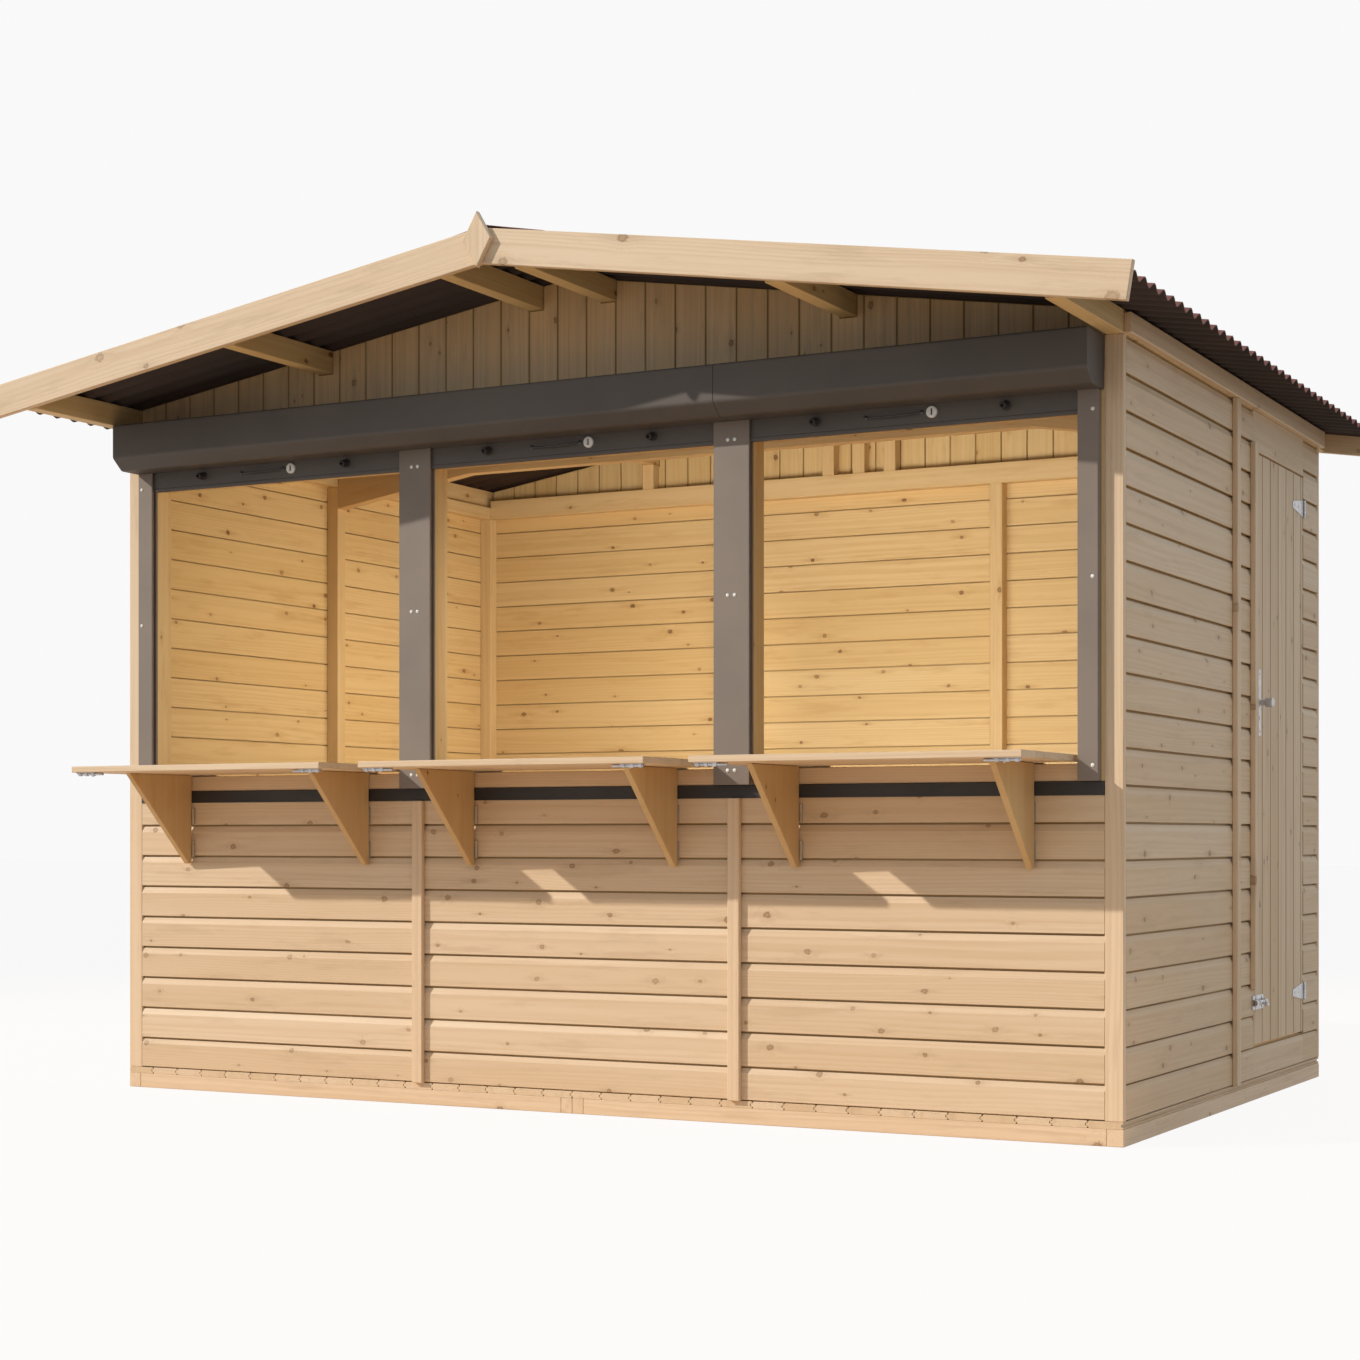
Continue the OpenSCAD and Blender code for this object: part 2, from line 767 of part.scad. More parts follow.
floor_frame();
floor_boards();
corner_boards();
front_wall();
left_wall();
right_wall();
back_wall();
gables();
wall_studs();
front_jambs();
top_plates();
gable_studs();
cover_battens();
eaves_trims();
door_leaf();
door_furniture();
door_fixings();
sill_boards();
sill_flashing();
guide_rails();
shutter_box();
end_slats();
shutter_stops();
shutter_locks();
left_counter();
middle_counter();
right_counter();
left_counter_bolts();
middle_counter_bolts();
right_counter_bolts();
left_bracket_a();
left_bracket_b();
middle_bracket_a();
middle_bracket_b();
right_bracket_a();
right_bracket_b();
bracket_hinges();
counter_hinges();
purlins();
roof_truss();
bargeboards();
finials();
left_roof_sheet();
right_roof_sheet();
ridge_cap();
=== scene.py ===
import math
import random

import bmesh
import bpy
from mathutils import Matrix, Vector


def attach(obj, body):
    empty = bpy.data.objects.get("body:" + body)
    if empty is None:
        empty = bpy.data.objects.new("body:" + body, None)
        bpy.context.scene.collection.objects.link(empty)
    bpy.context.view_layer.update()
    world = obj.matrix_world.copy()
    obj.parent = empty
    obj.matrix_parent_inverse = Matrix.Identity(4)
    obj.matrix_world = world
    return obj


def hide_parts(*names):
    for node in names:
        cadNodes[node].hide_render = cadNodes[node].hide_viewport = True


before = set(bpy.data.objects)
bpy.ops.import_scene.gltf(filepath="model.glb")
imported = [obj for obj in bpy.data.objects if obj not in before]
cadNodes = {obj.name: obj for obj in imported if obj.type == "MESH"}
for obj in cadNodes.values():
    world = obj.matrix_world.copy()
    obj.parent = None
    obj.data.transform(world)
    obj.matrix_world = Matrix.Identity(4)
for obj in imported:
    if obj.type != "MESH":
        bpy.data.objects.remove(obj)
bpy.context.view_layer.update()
print("frame loaded with", len(cadNodes), "nodes")

stall = {
    "halfWidth": 1.6, "front": -1.025, "back": 1.025, "floorTop": 0.063, "wallTop": 2.037, "frontTop": 0.882,
    "board": 0.094, "cladding": 0.020, "stud": 0.045, "corner": 0.050,
    "postX": 0.514, "openingHalf": 0.46, "openingPitch": 1.028, "railWidth": 0.054, "railInset": 0.047,
    "pitch": math.radians(9), "purlinWide": 0.045, "purlinTall": 0.062, "innerPurlin": 0.118,
    "frontOver": 0.478, "rearOver": 0.100, "barge": 0.020, "hair": 0.0003,
}
halfW, yF, yB = stall["halfWidth"], stall["front"], stall["back"]
floorTop, wallTop, frontTop = stall["floorTop"], stall["wallTop"], stall["frontTop"]
post, railW, stud, hair = stall["postX"], stall["railWidth"], stall["stud"], stall["hair"]
pitch, purlinTall, purlinHalf = stall["pitch"], stall["purlinTall"], stall["purlinWide"] / 2
xIn, yInF, yInB = halfW - stall["cladding"], yF + stall["cladding"], yB - stall["cladding"]
xStud, xCorner = xIn - stud, halfW - stall["corner"]
railIn = xStud - stall["railInset"]
slope, cosPitch, sinPitch = math.tan(pitch), math.cos(pitch), math.sin(pitch)
eaveX = halfW - purlinHalf
ridgeZ = wallTop + purlinTall + slope * eaveX
purlinsX = [stall["innerPurlin"], (stall["innerPurlin"] + eaveX) / 2, eaveX]
openingsX = [-stall["openingPitch"], 0.0, stall["openingPitch"]]
openings = list(zip(("left", "middle", "right"), openingsX))
roofY0, roofY1 = yF - stall["frontOver"] + stall["barge"], yB + stall["rearOver"] - stall["barge"]
dice = random.Random(94)


def slopeZ(x):
    return ridgeZ - slope * abs(x)


# mesh helpers: a batch gathers many boards or fittings into one piece
def newBatch():
    return {"points": [], "faces": [], "grain": [], "tone": [], "finish": [], "smooth": []}


def addFace(batch, face, finish=0, smooth=False):
    batch["faces"].append(face)
    batch["finish"].append(finish)
    batch["smooth"].append(smooth)


def shrink(outline, by):
    following = outline[1:] + outline[:1]
    area = sum(p[0] * q[1] - q[0] * p[1] for p, q in zip(outline, following))
    turn = 1 if area > 0 else -1
    result = []
    for i, (here, after) in enumerate(zip(outline, following)):
        a, b, c = Vector(outline[i - 1]), Vector(here), Vector(after)
        first, second = (b - a).normalized(), (c - b).normalized()
        n1, n2 = Vector((-first.y, first.x)) * turn, Vector((-second.y, second.x)) * turn
        mid = n1 + n2
        mid = mid.normalized() if mid.length > 1e-6 else n1
        result.append(b + mid * (by / max(0.5, mid.dot(n1))))
    return result


def place(axis, at, pair):
    spot = list(pair)
    spot.insert(axis, at)
    return Vector(spot)


def addPrism(batch, outline, axis, start, stop, grainAxis, edge=0.0015, tilt=0.0, finishOf=None):
    # an outline drawn out along an axis, with eased ends
    rings = [(start, edge), (start + edge, 0.0), (stop - edge, 0.0), (stop, edge)]
    first, count = len(batch["points"]), len(outline)
    spans = {axis: abs(stop - start)}
    for k, i in enumerate(i for i in range(3) if i != axis):
        spans[i] = max(p[k] for p in outline) - min(p[k] for p in outline)
    others = sorted((i for i in range(3) if i != grainAxis),
                    key=lambda i: (-round(spans[i], 4), i != 2))  # the width, then the thickness
    middle = [sum(p[0] for p in outline) / count, sum(p[1] for p in outline) / count]
    centre = place(axis, (start + stop) / 2, middle)
    shift = (dice.uniform(0, 60), dice.uniform(-0.03, 0.03), dice.choice((-1, 1)) * dice.uniform(0.02, 0.09))
    tone = dice.random()
    c, s = math.cos(tilt), math.sin(tilt)
    for at, inset in rings:
        for pair in (shrink(outline, inset) if inset > 1e-7 else outline):
            p = place(axis, at, pair)
            q = p - centre
            if tilt:
                q = Vector((q.x * c - q.z * s, q.y, q.x * s + q.z * c))
            batch["points"].append(p)
            batch["grain"].append((q[grainAxis] + shift[0], q[others[0]] + shift[1], q[others[1]] + shift[2]))
            batch["tone"].append(tone)
    rows = [[first + r * count + i for i in range(count)] for r in range(len(rings))]
    faces = [[one[i - count], one[i - count + 1], two[i - count + 1], two[i - count]]
             for one, two in zip(rows, rows[1:]) for i in range(count)]
    for face in faces + [rows[0], rows[-1]]:
        spot = sum((batch["points"][i] for i in face), Vector()) / len(face)
        addFace(batch, face, finishOf(spot) if finishOf else 0)


def easedRect(a0, a1, b0, b1, ease):
    return [(a0 + ease, b0), (a1 - ease, b0), (a1, b0 + ease), (a1, b1 - ease),
            (a1 - ease, b1), (a0 + ease, b1), (a0, b1 - ease), (a0, b0 + ease)]


def roundedRect(a0, a1, b0, b1, r, steps=4):
    result = []
    for ca, cb, begin in ((a1 - r, b0 + r, -90), (a1 - r, b1 - r, 0), (a0 + r, b1 - r, 90), (a0 + r, b0 + r, 180)):
        for k in range(steps + 1):
            t = math.radians(begin + 90 * k / steps)
            result.append((ca + r * math.cos(t), cb + r * math.sin(t)))
    return result


def easedOutline(corners, r, steps=3):
    result = []
    for a, b, c in zip(corners[-1:] + corners[:-1], corners, corners[1:] + corners[:1]):
        a, b, c = Vector(a), Vector(b), Vector(c)
        start, stop = b + (a - b).normalized() * r, b + (c - b).normalized() * r
        for k in range(steps + 1):
            f = k / steps
            result.append(tuple(start * (1 - f) ** 2 + b * 2 * f * (1 - f) + stop * f ** 2))
    return result


def strapOutline(reach, under, over, centre, radius, steps):
    # a strap bent over a rod, as (along the face, out from the face)
    half = [(reach, under), (reach, over), (radius, over)]
    bends = [math.pi * k / steps for k in range(1, steps)]
    return (half + [(radius * math.cos(q), centre + radius * math.sin(q)) for q in bends]
            + [(-along, out) for along, out in reversed(half)])


def addPlank(batch, low, high, grainAxis, ease=0.0015, **more):
    # a board with eased edges between two corners
    a, b = [i for i in range(3) if i != grainAxis]
    addPrism(batch, easedRect(low[a], high[a], low[b], high[b], ease), grainAxis, low[grainAxis], high[grainAxis],
             grainAxis, ease, **more)


def addPlankPair(batch, low, high, grainAxis, **more):
    addPlank(batch, low, high, grainAxis, **more)
    addPlank(batch, (-high[0], low[1], low[2]), (-low[0], high[1], high[2]), grainAxis, **more)


def addCircle(batch, base, side, other, radius, segments):
    first = len(batch["points"])
    for i in range(segments):
        a = 2 * math.pi * i / segments
        batch["points"].append(base + (side * math.cos(a) + other * math.sin(a)) * radius)
    return list(range(first, first + segments))


def fillPlain(batch):
    for p in batch["points"][len(batch["grain"]):]:
        batch["grain"].append(tuple(p))
        batch["tone"].append(0.5)


def addTurned(batch, centre, axis, profile, segments, finish=0, radius=1.0):
    # a turned fitting: (distance along the axis, share of the radius) pairs; 0 closes an end
    way = Vector(axis).normalized()
    side = way.orthogonal().normalized()
    other = way.cross(side)
    rows = []
    for along, share in profile:
        base = Vector(centre) + way * along
        if share > 0:
            rows.append(addCircle(batch, base, side, other, radius * share, segments))
        else:
            rows.append([len(batch["points"])])
            batch["points"].append(base)
    for one, two in zip(rows, rows[1:]):
        for i in range(segments):
            j = (i + 1) % segments
            face = [one[i % len(one)], one[j % len(one)], two[j % len(two)], two[i % len(two)]]
            face = [v for k, v in enumerate(face) if v not in face[:k]]
            if len(face) > 2:
                addFace(batch, face, finish, True)
    fillPlain(batch)


def addTube(batch, path, radius, segments=10):
    # a bent rod along a path
    rows = []
    for i, p in enumerate(path):
        way = (Vector(path[min(i + 1, len(path) - 1)]) - Vector(path[max(i - 1, 0)])).normalized()
        side = way.cross(Vector((0.13, 0.37, 0.92))).normalized()
        rows.append(addCircle(batch, Vector(p), side, way.cross(side), radius, segments))
    for one, two in zip(rows, rows[1:]):
        for k in range(segments):
            j = (k + 1) % segments
            addFace(batch, [one[k], one[j], two[j], two[k]], 0, True)
    addFace(batch, rows[0])
    addFace(batch, rows[-1])
    fillPlain(batch)


screwHead = [(-0.0004, 1), (0.0004, 1), (0.0012, 0.8), (0.0016, 0.4), (0.0012, 0.25), (0.0011, 0)]


def addScrew(batch, centre, axis, radius, finish=0):
    addTurned(batch, centre, axis, screwHead, 14, finish, radius)


def addBarrel(batch, x, y, z0, z1, radius, ease, segments):
    knuckles, gap = 5, 0.0002
    tall = (z1 - z0) / knuckles
    profile = [(gap, 0), (gap, radius - ease), (gap + ease, radius)]
    profile += [(tall - along, r) for along, r in reversed(profile)]
    for k in range(knuckles):
        addTurned(batch, (x, y, z0 + (z1 - z0) * k / knuckles), (0, 0, 1), profile, segments)


def addToScene(name, data):
    made = bpy.data.objects.new(name, data)
    bpy.context.scene.collection.objects.link(made)
    return made


def finishPiece(name, batch, finishes, stands=None, body="stall"):
    mesh = bpy.data.meshes.new(name)
    mesh.from_pydata([tuple(p) for p in batch["points"]], [], batch["faces"])
    grain = [c for g in batch["grain"] for c in g]
    mesh.attributes.new("grain", "FLOAT_VECTOR", "POINT").data.foreach_set("vector", grain)
    mesh.attributes.new("tone", "FLOAT", "POINT").data.foreach_set("value", batch["tone"])
    for finish in finishes:
        mesh.materials.append(finish)
    mesh.polygons.foreach_set("material_index", batch["finish"])
    mesh.polygons.foreach_set("use_smooth", batch["smooth"])
    work = bmesh.new()
    work.from_mesh(mesh)
    bmesh.ops.recalc_face_normals(work, faces=work.faces)
    work.to_mesh(mesh)
    work.free()
    if any(batch["smooth"]):
        mesh.set_sharp_from_angle(angle=math.radians(38))
    piece = addToScene(name, mesh)
    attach(piece, body)
    if stands:
        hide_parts(stands)


# finishes
def addNode(tree, kind, values=None, **settings):
    made = tree.nodes.new("ShaderNode" + kind)
    for key, value in settings.items():
        setattr(made, key, value)
    for key, value in (values or {}).items():
        if isinstance(value, bpy.types.NodeSocket):
            tree.links.new(value, made.inputs[key])
        else:
            made.inputs[key].default_value = value
    return made


def maths(tree, operation, *values, clamp=False):
    return addNode(tree, "Math", dict(enumerate(values)), operation=operation, use_clamp=clamp).outputs[0]


def times(tree, *values):
    return maths(tree, "MULTIPLY", *values)


def timesPlus(tree, *values):
    return maths(tree, "MULTIPLY_ADD", *values)


def vectors(tree, operation, *values):
    return addNode(tree, "VectorMath", dict(enumerate(values)), operation=operation).outputs


def blendColour(tree, amount, one, two):
    return addNode(tree, "Mix", {0: amount, 6: one, 7: two}, data_type="RGBA").outputs[2]


def remap(tree, value, low, high):
    return addNode(tree, "MapRange", {0: value, 1: low, 2: high, 3: 0.0, 4: 1.0},
                   interpolation_type="SMOOTHSTEP").outputs[0]


def noise(tree, vector, scale, detail, rough=0.5):
    return addNode(tree, "TexNoise",
                   {"Vector": vector, "Scale": scale, "Detail": detail, "Roughness": rough}).outputs[0]


def stretch(tree, parts, scales):
    scaled = {i: times(tree, parts[i], scale) for i, scale in enumerate(scales)}
    return addNode(tree, "CombineXYZ", scaled).outputs[0]


def streaks(tree, parts, along, across, detail, rough=0.55):
    return noise(tree, stretch(tree, parts, (along, across, across)), 1.0, detail, rough)


def addBump(tree, shader, strength, distance, height):
    bump = addNode(tree, "Bump", {"Strength": strength, "Distance": distance, "Height": height})
    tree.links.new(bump.outputs[0], shader.inputs["Normal"])


def startFinish(name, roughness, metallic=0.0):
    finish = bpy.data.materials.new(name)
    finish.use_nodes = True
    tree = finish.node_tree
    shader = next(n for n in tree.nodes if n.type == "BSDF_PRINCIPLED")
    shader.inputs["Roughness"].default_value = roughness
    shader.inputs["Metallic"].default_value = metallic
    return finish, tree, shader


timberNoise = {  # scale along and across the grain, detail, roughness
    "wobble": (130, 130, 2.0), "sway": (0.8, 5, 2.0), "streak": (1.6, 70, 3.0), "fibre": (14, 800, 2.0),
    "smudge": (3.2, 22, 4.0, 0.65), "cloud": (0.9, 7, 2.0),
}
timberBands = {"streak": (0.42, 0.75), "cloud": (0.45, 0.8), "fibre": (0.3, 0.7), "smudge": (0.52, 0.72)}
knotBands = {"knot": (1.05, 0.8), "rimIn": (0.45, 0.9), "rimOut": (1.35, 0.95), "halo": (4.5, 0.8), "tail": (1.9, 0.3)}
knotForm = {"squash": 0.75, "tailSquash": 0.2, "ragged": (1.2, 0.4), "least": 0.45, "push": 0.010}
ringBands = ((0.25, 0.88), (1.0, 0.9))


def timber(name, look):
    finish, tree, shader = startFinish(name, look["rough"])
    grain = addNode(tree, "Attribute", attribute_name="grain").outputs["Vector"]
    tone = addNode(tree, "Attribute", attribute_name="tone").outputs["Fac"]
    split = addNode(tree, "SeparateXYZ", {0: grain}).outputs
    figure = {key: streaks(tree, split, *settings) for key, settings in timberNoise.items()}
    band = {key: remap(tree, figure[key], *limits) for key, limits in timberBands.items()}
    # knots: one spot in a few of the cells of a stretched grid
    cellA, cellB = look["knotCells"]
    cell = stretch(tree, split, (cellA, cellB, 0))
    spots = addNode(tree, "TexVoronoi", {"Vector": cell, "Scale": 1.0}, voronoi_dimensions="2D", feature="F1").outputs
    gap = vectors(tree, "SUBTRACT", cell, spots["Position"])[0]
    gap = vectors(tree, "MULTIPLY", gap, (knotForm["squash"] / cellA, 1 / cellB, 0))[0]
    pick = addNode(tree, "SeparateColor", {0: spots["Color"]}).outputs
    there = maths(tree, "GREATER_THAN", pick[1], 1 - look["knotShare"])
    there = times(tree, there, timesPlus(tree, pick[2], 0.5, 0.5))
    size = timesPlus(tree, pick[0], look["knotSize"], look["knotSize"] * knotForm["least"])
    reach = vectors(tree, "LENGTH", gap)["Value"]
    reach = times(tree, reach, timesPlus(tree, figure["wobble"], *knotForm["ragged"]))
    drawn = vectors(tree, "LENGTH", vectors(tree, "MULTIPLY", gap, (knotForm["tailSquash"], 1, 1))[0])["Value"]
    reach, drawn = maths(tree, "DIVIDE", reach, size), maths(tree, "DIVIDE", drawn, size)
    spot = {key: times(tree, remap(tree, drawn if key == "tail" else reach, *limits), there)
            for key, limits in knotBands.items() if key != "rimOut"}
    spot["rim"] = times(tree, spot["rimIn"], remap(tree, reach, *knotBands["rimOut"]))
    # growth rings round a pith beside the board, pushed aside by the knots
    ringA = maths(tree, "ADD", split[1], timesPlus(tree, figure["sway"], look["sway"], -look["sway"] / 2))
    ringB = maths(tree, "ADD", split[2], times(tree, spot["halo"], knotForm["push"]))
    radius = maths(tree, "SQRT", maths(tree, "ADD", times(tree, ringA, ringA), times(tree, ringB, ringB)))
    phase = maths(tree, "FRACT", maths(tree, "DIVIDE", radius, look["ring"]))
    late = times(tree, *(remap(tree, phase, *limits) for limits in ringBands))
    colour = blendColour(tree, tone, look["pale"], look["warm"])
    for amount, share, tint in ((late, look["ringShow"], "late"), (band["streak"], look["streakShow"], "late"),
                                (band["cloud"], 0.35, "cloud"), (band["fibre"], 0.10, "late"),
                                (band["smudge"], 0.36, "smudge"), (spot["halo"], 0.16, "late"),
                                (spot["tail"], 0.45, "smudge"), (spot["knot"], look["knotShow"], "knot"),
                                (spot["rim"], look["knotShow"] * 0.7, "bark")):
        colour = blendColour(tree, times(tree, amount, share), colour, look[tint])
    tree.links.new(colour, shader.inputs["Base Color"])
    low = look["rough"] - look["roughSpread"] / 2
    tree.links.new(timesPlus(tree, figure["streak"], look["roughSpread"], low), shader.inputs["Roughness"])
    height = timesPlus(tree, late, -0.5, times(tree, spot["knot"], 0.8))
    height = maths(tree, "ADD", times(tree, figure["fibre"], 0.6), height)
    addBump(tree, shader, look["bump"], look["bumpTall"], height)
    return finish


cladLook = {
    "pale": (0.72, 0.56, 0.395, 1), "warm": (0.64, 0.468, 0.30, 1), "late": (0.53, 0.345, 0.185, 1),
    "cloud": (0.73, 0.575, 0.415, 1), "smudge": (0.47, 0.33, 0.20, 1), "knot": (0.34, 0.175, 0.075, 1),
    "bark": (0.15, 0.075, 0.035, 1), "rough": 0.58, "ring": 0.0075, "ringShow": 0.25, "streakShow": 0.24, "sway": 0.06,
    "knotCells": (3.4, 20.0), "knotShare": 0.44, "knotSize": 0.0050, "knotShow": 0.80, "bump": 0.35,
    "bumpTall": 0.0006, "roughSpread": 0.16,
}
roomLook = dict(cladLook, pale=(0.75, 0.555, 0.28, 1), warm=(0.70, 0.495, 0.222, 1), late=(0.55, 0.33, 0.115, 1),
                cloud=(0.77, 0.595, 0.31, 1), smudge=(0.50, 0.28, 0.10, 1), knot=(0.23, 0.10, 0.035, 1), knotShow=0.92)
planedLook = dict(cladLook, pale=(0.745, 0.57, 0.40, 1), warm=(0.71, 0.53, 0.36, 1), knotShare=0.42,
                  knotCells=(3.2, 10.0), knotSize=0.0075)
outside = timber("claddingTimber", cladLook)
room = timber("roomTimber", roomLook)
framing = timber("frameTimber", dict(
    roomLook, pale=(0.73, 0.54, 0.285, 1), warm=(0.67, 0.475, 0.235, 1), knotShare=0.25))
planed = timber("planedTimber", planedLook)
plain = timber("plainTimber", dict(planedLook, knotShare=0.0))
barging = timber("bargeTimber", dict(planedLook, knotShare=0.85, knotSize=0.0095))
flooring = timber("floorTimber", dict(cladLook, warm=(0.63, 0.46, 0.29, 1), knotShare=0.35))
# painted light: gable boards lighter and warmer than the cladding, standing in for warm bounce light under the overhang
gablePaintedLight = timber("gablePaintedLightTimber", dict(cladLook, pale=(0.86, 0.61, 0.35, 1), warm=(0.82, 0.555, 0.295, 1)))
# painted shade: a darker, warmer copy of the planed timber for the brackets, header and truss, standing in for warm
# shade
warmShade = timber("warmShadeTimber", dict(
    roomLook, pale=(0.64, 0.435, 0.225, 1), warm=(0.58, 0.375, 0.18, 1), knotShare=0.25))
# painted shade: a dark timber for the faces deep in the joints and grooves, standing in for the shade there
jointShade = timber("jointShadeTimber", dict(
    roomLook, pale=(0.38, 0.25, 0.115, 1), warm=(0.32, 0.205, 0.088, 1), knotShare=0.0))

coatBands = {"cloud": (0.3, 0.7), "brush": (0.4, 0.75)}


def coatedMetal(name, look):
    finish, tree, shader = startFinish(name, look["rough"], look["metallic"])
    spot = addNode(tree, "TexCoord").outputs["Object"]
    cloud = noise(tree, spot, look["cloudScale"], 4.0)
    speck = noise(tree, spot, look["speckScale"], 2.0)
    brushed = noise(tree, vectors(tree, "MULTIPLY", spot, look["brush"])[0], 1.0, 3.0)
    colour = blendColour(tree, remap(tree, cloud, *coatBands["cloud"]), look["dark"], look["light"])
    wear = times(tree, remap(tree, brushed, *coatBands["brush"]), look["brushShow"])
    colour = blendColour(tree, wear, colour, look["worn"])
    tree.links.new(colour, shader.inputs["Base Color"])
    rough = timesPlus(tree, speck, look["roughSpread"], look["rough"] - look["roughSpread"] / 2)
    tree.links.new(rough, shader.inputs["Roughness"])
    addBump(tree, shader, look["bump"], look["bumpTall"], speck)
    return finish


coatLook = {"metallic": 0.0, "rough": 0.6, "roughSpread": 0.12, "cloudScale": 5.0, "speckScale": 900.0,
            "brush": (3, 3, 3), "brushShow": 0.15, "bump": 0.12, "bumpTall": 0.0004}
zincLook = dict(coatLook, cloudScale=45.0, speckScale=600.0, brush=(30, 300, 300), brushShow=0.35, bump=0.08)
sheetLook = dict(coatLook, cloudScale=3.0, speckScale=500.0, brush=(2, 40, 2), brushShow=0.25)
slate = coatedMetal("slateCoat", dict(
    coatLook, dark=(0.200, 0.160, 0.134, 1), light=(0.230, 0.184, 0.154, 1), worn=(0.27, 0.225, 0.19, 1)))
# painted shade: a darker copy of the slate coat for the box and the end slats, which sit in the shade of the overhang
boxShade = coatedMetal("boxShadeCoat", dict(
    coatLook, dark=(0.077, 0.063, 0.055, 1), light=(0.090, 0.074, 0.064, 1), worn=(0.115, 0.096, 0.084, 1),
    rough=0.58, cloudScale=4.0))
# painted shade: a near-black copy of the slate coat for the flashing, in the shade under the counters
flashingShade = coatedMetal("flashingShadeCoat", dict(
    coatLook, dark=(0.019, 0.015, 0.013, 1), light=(0.025, 0.0205, 0.018, 1), worn=(0.04, 0.034, 0.03, 1),
    brush=(3, 30, 30), brushShow=0.2))
zinc = coatedMetal("zincPlate", dict(
    zincLook, dark=(0.46, 0.45, 0.465, 1), light=(0.60, 0.59, 0.605, 1), worn=(0.39, 0.38, 0.39, 1), metallic=0.75,
    rough=0.36, roughSpread=0.22))
dullZinc = coatedMetal("dullZinc", dict(
    zincLook, dark=(0.40, 0.32, 0.23, 1), light=(0.48, 0.39, 0.29, 1), worn=(0.50, 0.43, 0.34, 1), metallic=0.15,
    roughSpread=0.2))
enamel = coatedMetal("whiteEnamel", dict(
    coatLook, dark=(0.78, 0.78, 0.77, 1), light=(0.86, 0.86, 0.85, 1), worn=(0.7, 0.7, 0.7, 1), rough=0.32,
    roughSpread=0.1, cloudScale=60.0, brush=(9, 9, 9), brushShow=0.1, bump=0.04))
rubber = coatedMetal("blackRubber", dict(
    coatLook, dark=(0.022, 0.017, 0.015, 1), light=(0.034, 0.027, 0.024, 1), worn=(0.06, 0.05, 0.045, 1), rough=0.72,
    roughSpread=0.15, cloudScale=80.0, speckScale=1400.0, brush=(40, 40, 40), brushShow=0.2, bump=0.25))
steel = coatedMetal("pullSteel", dict(
    coatLook, dark=(0.045, 0.041, 0.038, 1), light=(0.065, 0.06, 0.056, 1), worn=(0.10, 0.093, 0.087, 1),
    metallic=0.5, rough=0.34, roughSpread=0.1, cloudScale=40.0, speckScale=700.0, brush=(200, 20, 200),
    brushShow=0.3, bump=0.05))
oxide = coatedMetal("oxideSheet", dict(
    sheetLook, dark=(0.115, 0.027, 0.021, 1), light=(0.155, 0.038, 0.029, 1), worn=(0.18, 0.068, 0.052, 1),
    rough=0.62, roughSpread=0.2, bump=0.3))
# painted shade: a near-black copy of the oxide coat for the underside of the sheets, in the shade under the roof
undersideShade = coatedMetal("sheetUndersideShade", dict(
    sheetLook, dark=(0.028, 0.016, 0.0125, 1), light=(0.040, 0.023, 0.018, 1), worn=(0.058, 0.037, 0.030, 1),
    rough=0.85, roughSpread=0.15, bump=0.2))
print("finishes made")

# weatherboards: a flat face, a bevel above it and a lip that hangs over the board below
weatherboard = {"flat": 0.071, "bevel": 0.0065, "rebate": 0.011, "shadow": 0.0055, "foot": 0.003, "lip": 0.0012,
                "vee": 0.0018, "gap": 0.0002, "groove": 0.0030, "grooveDeep": 0.0085, "ease": 0.0004,
                "roomDeep": 0.0023, "faceDeep": 0.005}
wallFinishes = [outside, room, jointShade]  # faces outside, faces inside, and the faces deep in the joints, darkened as painted shade


# faces near neither plane lie deep in a joint and take the painted-shade finish
def byDepth(axis, out, inner, outDeep, innerDeep):
    return lambda c: 1 if abs(c[axis] - inner) < innerDeep else 0 if abs(c[axis] - out) < outDeep else 2


def weatherOutline(out, inner, low, high):
    s = 1 if out > inner else -1
    w = weatherboard
    top = high - w["gap"]
    points = [(out, low + w["lip"])]
    if high - low > w["flat"] + w["shadow"] * 2:
        under, back = top - w["shadow"], out - s * w["rebate"]
        points += [(out, low + w["flat"]), (out - s * w["bevel"], under), (back, under), (back, top)]
    else:
        points.append((out, top))
    face, deep, vee = top - w["groove"], inner + s * w["grooveDeep"], inner + s * w["vee"]
    points += [(deep, top), (deep, face), (vee, face), (inner, face - w["vee"]),
               (inner, low + w["vee"]), (vee, low), (out - s * w["lip"], low)]
    return points


def addCourses(batch, axis, out, inner, spans, high):
    w = weatherboard
    finishOf = byDepth(1 - axis, out, inner, w["faceDeep"], w["roomDeep"])
    low = floorTop
    while low < high - 1e-4:
        z0, z1 = low, min(high, low + stall["board"])
        if low == floorTop:
            z0 += w["foot"]  # the lowest board clears the floor a little
        low += stall["board"]
        for start, stop in spans:
            addPrism(batch, weatherOutline(out, inner, z0, z1), axis, start, stop, axis, w["ease"], finishOf=finishOf)


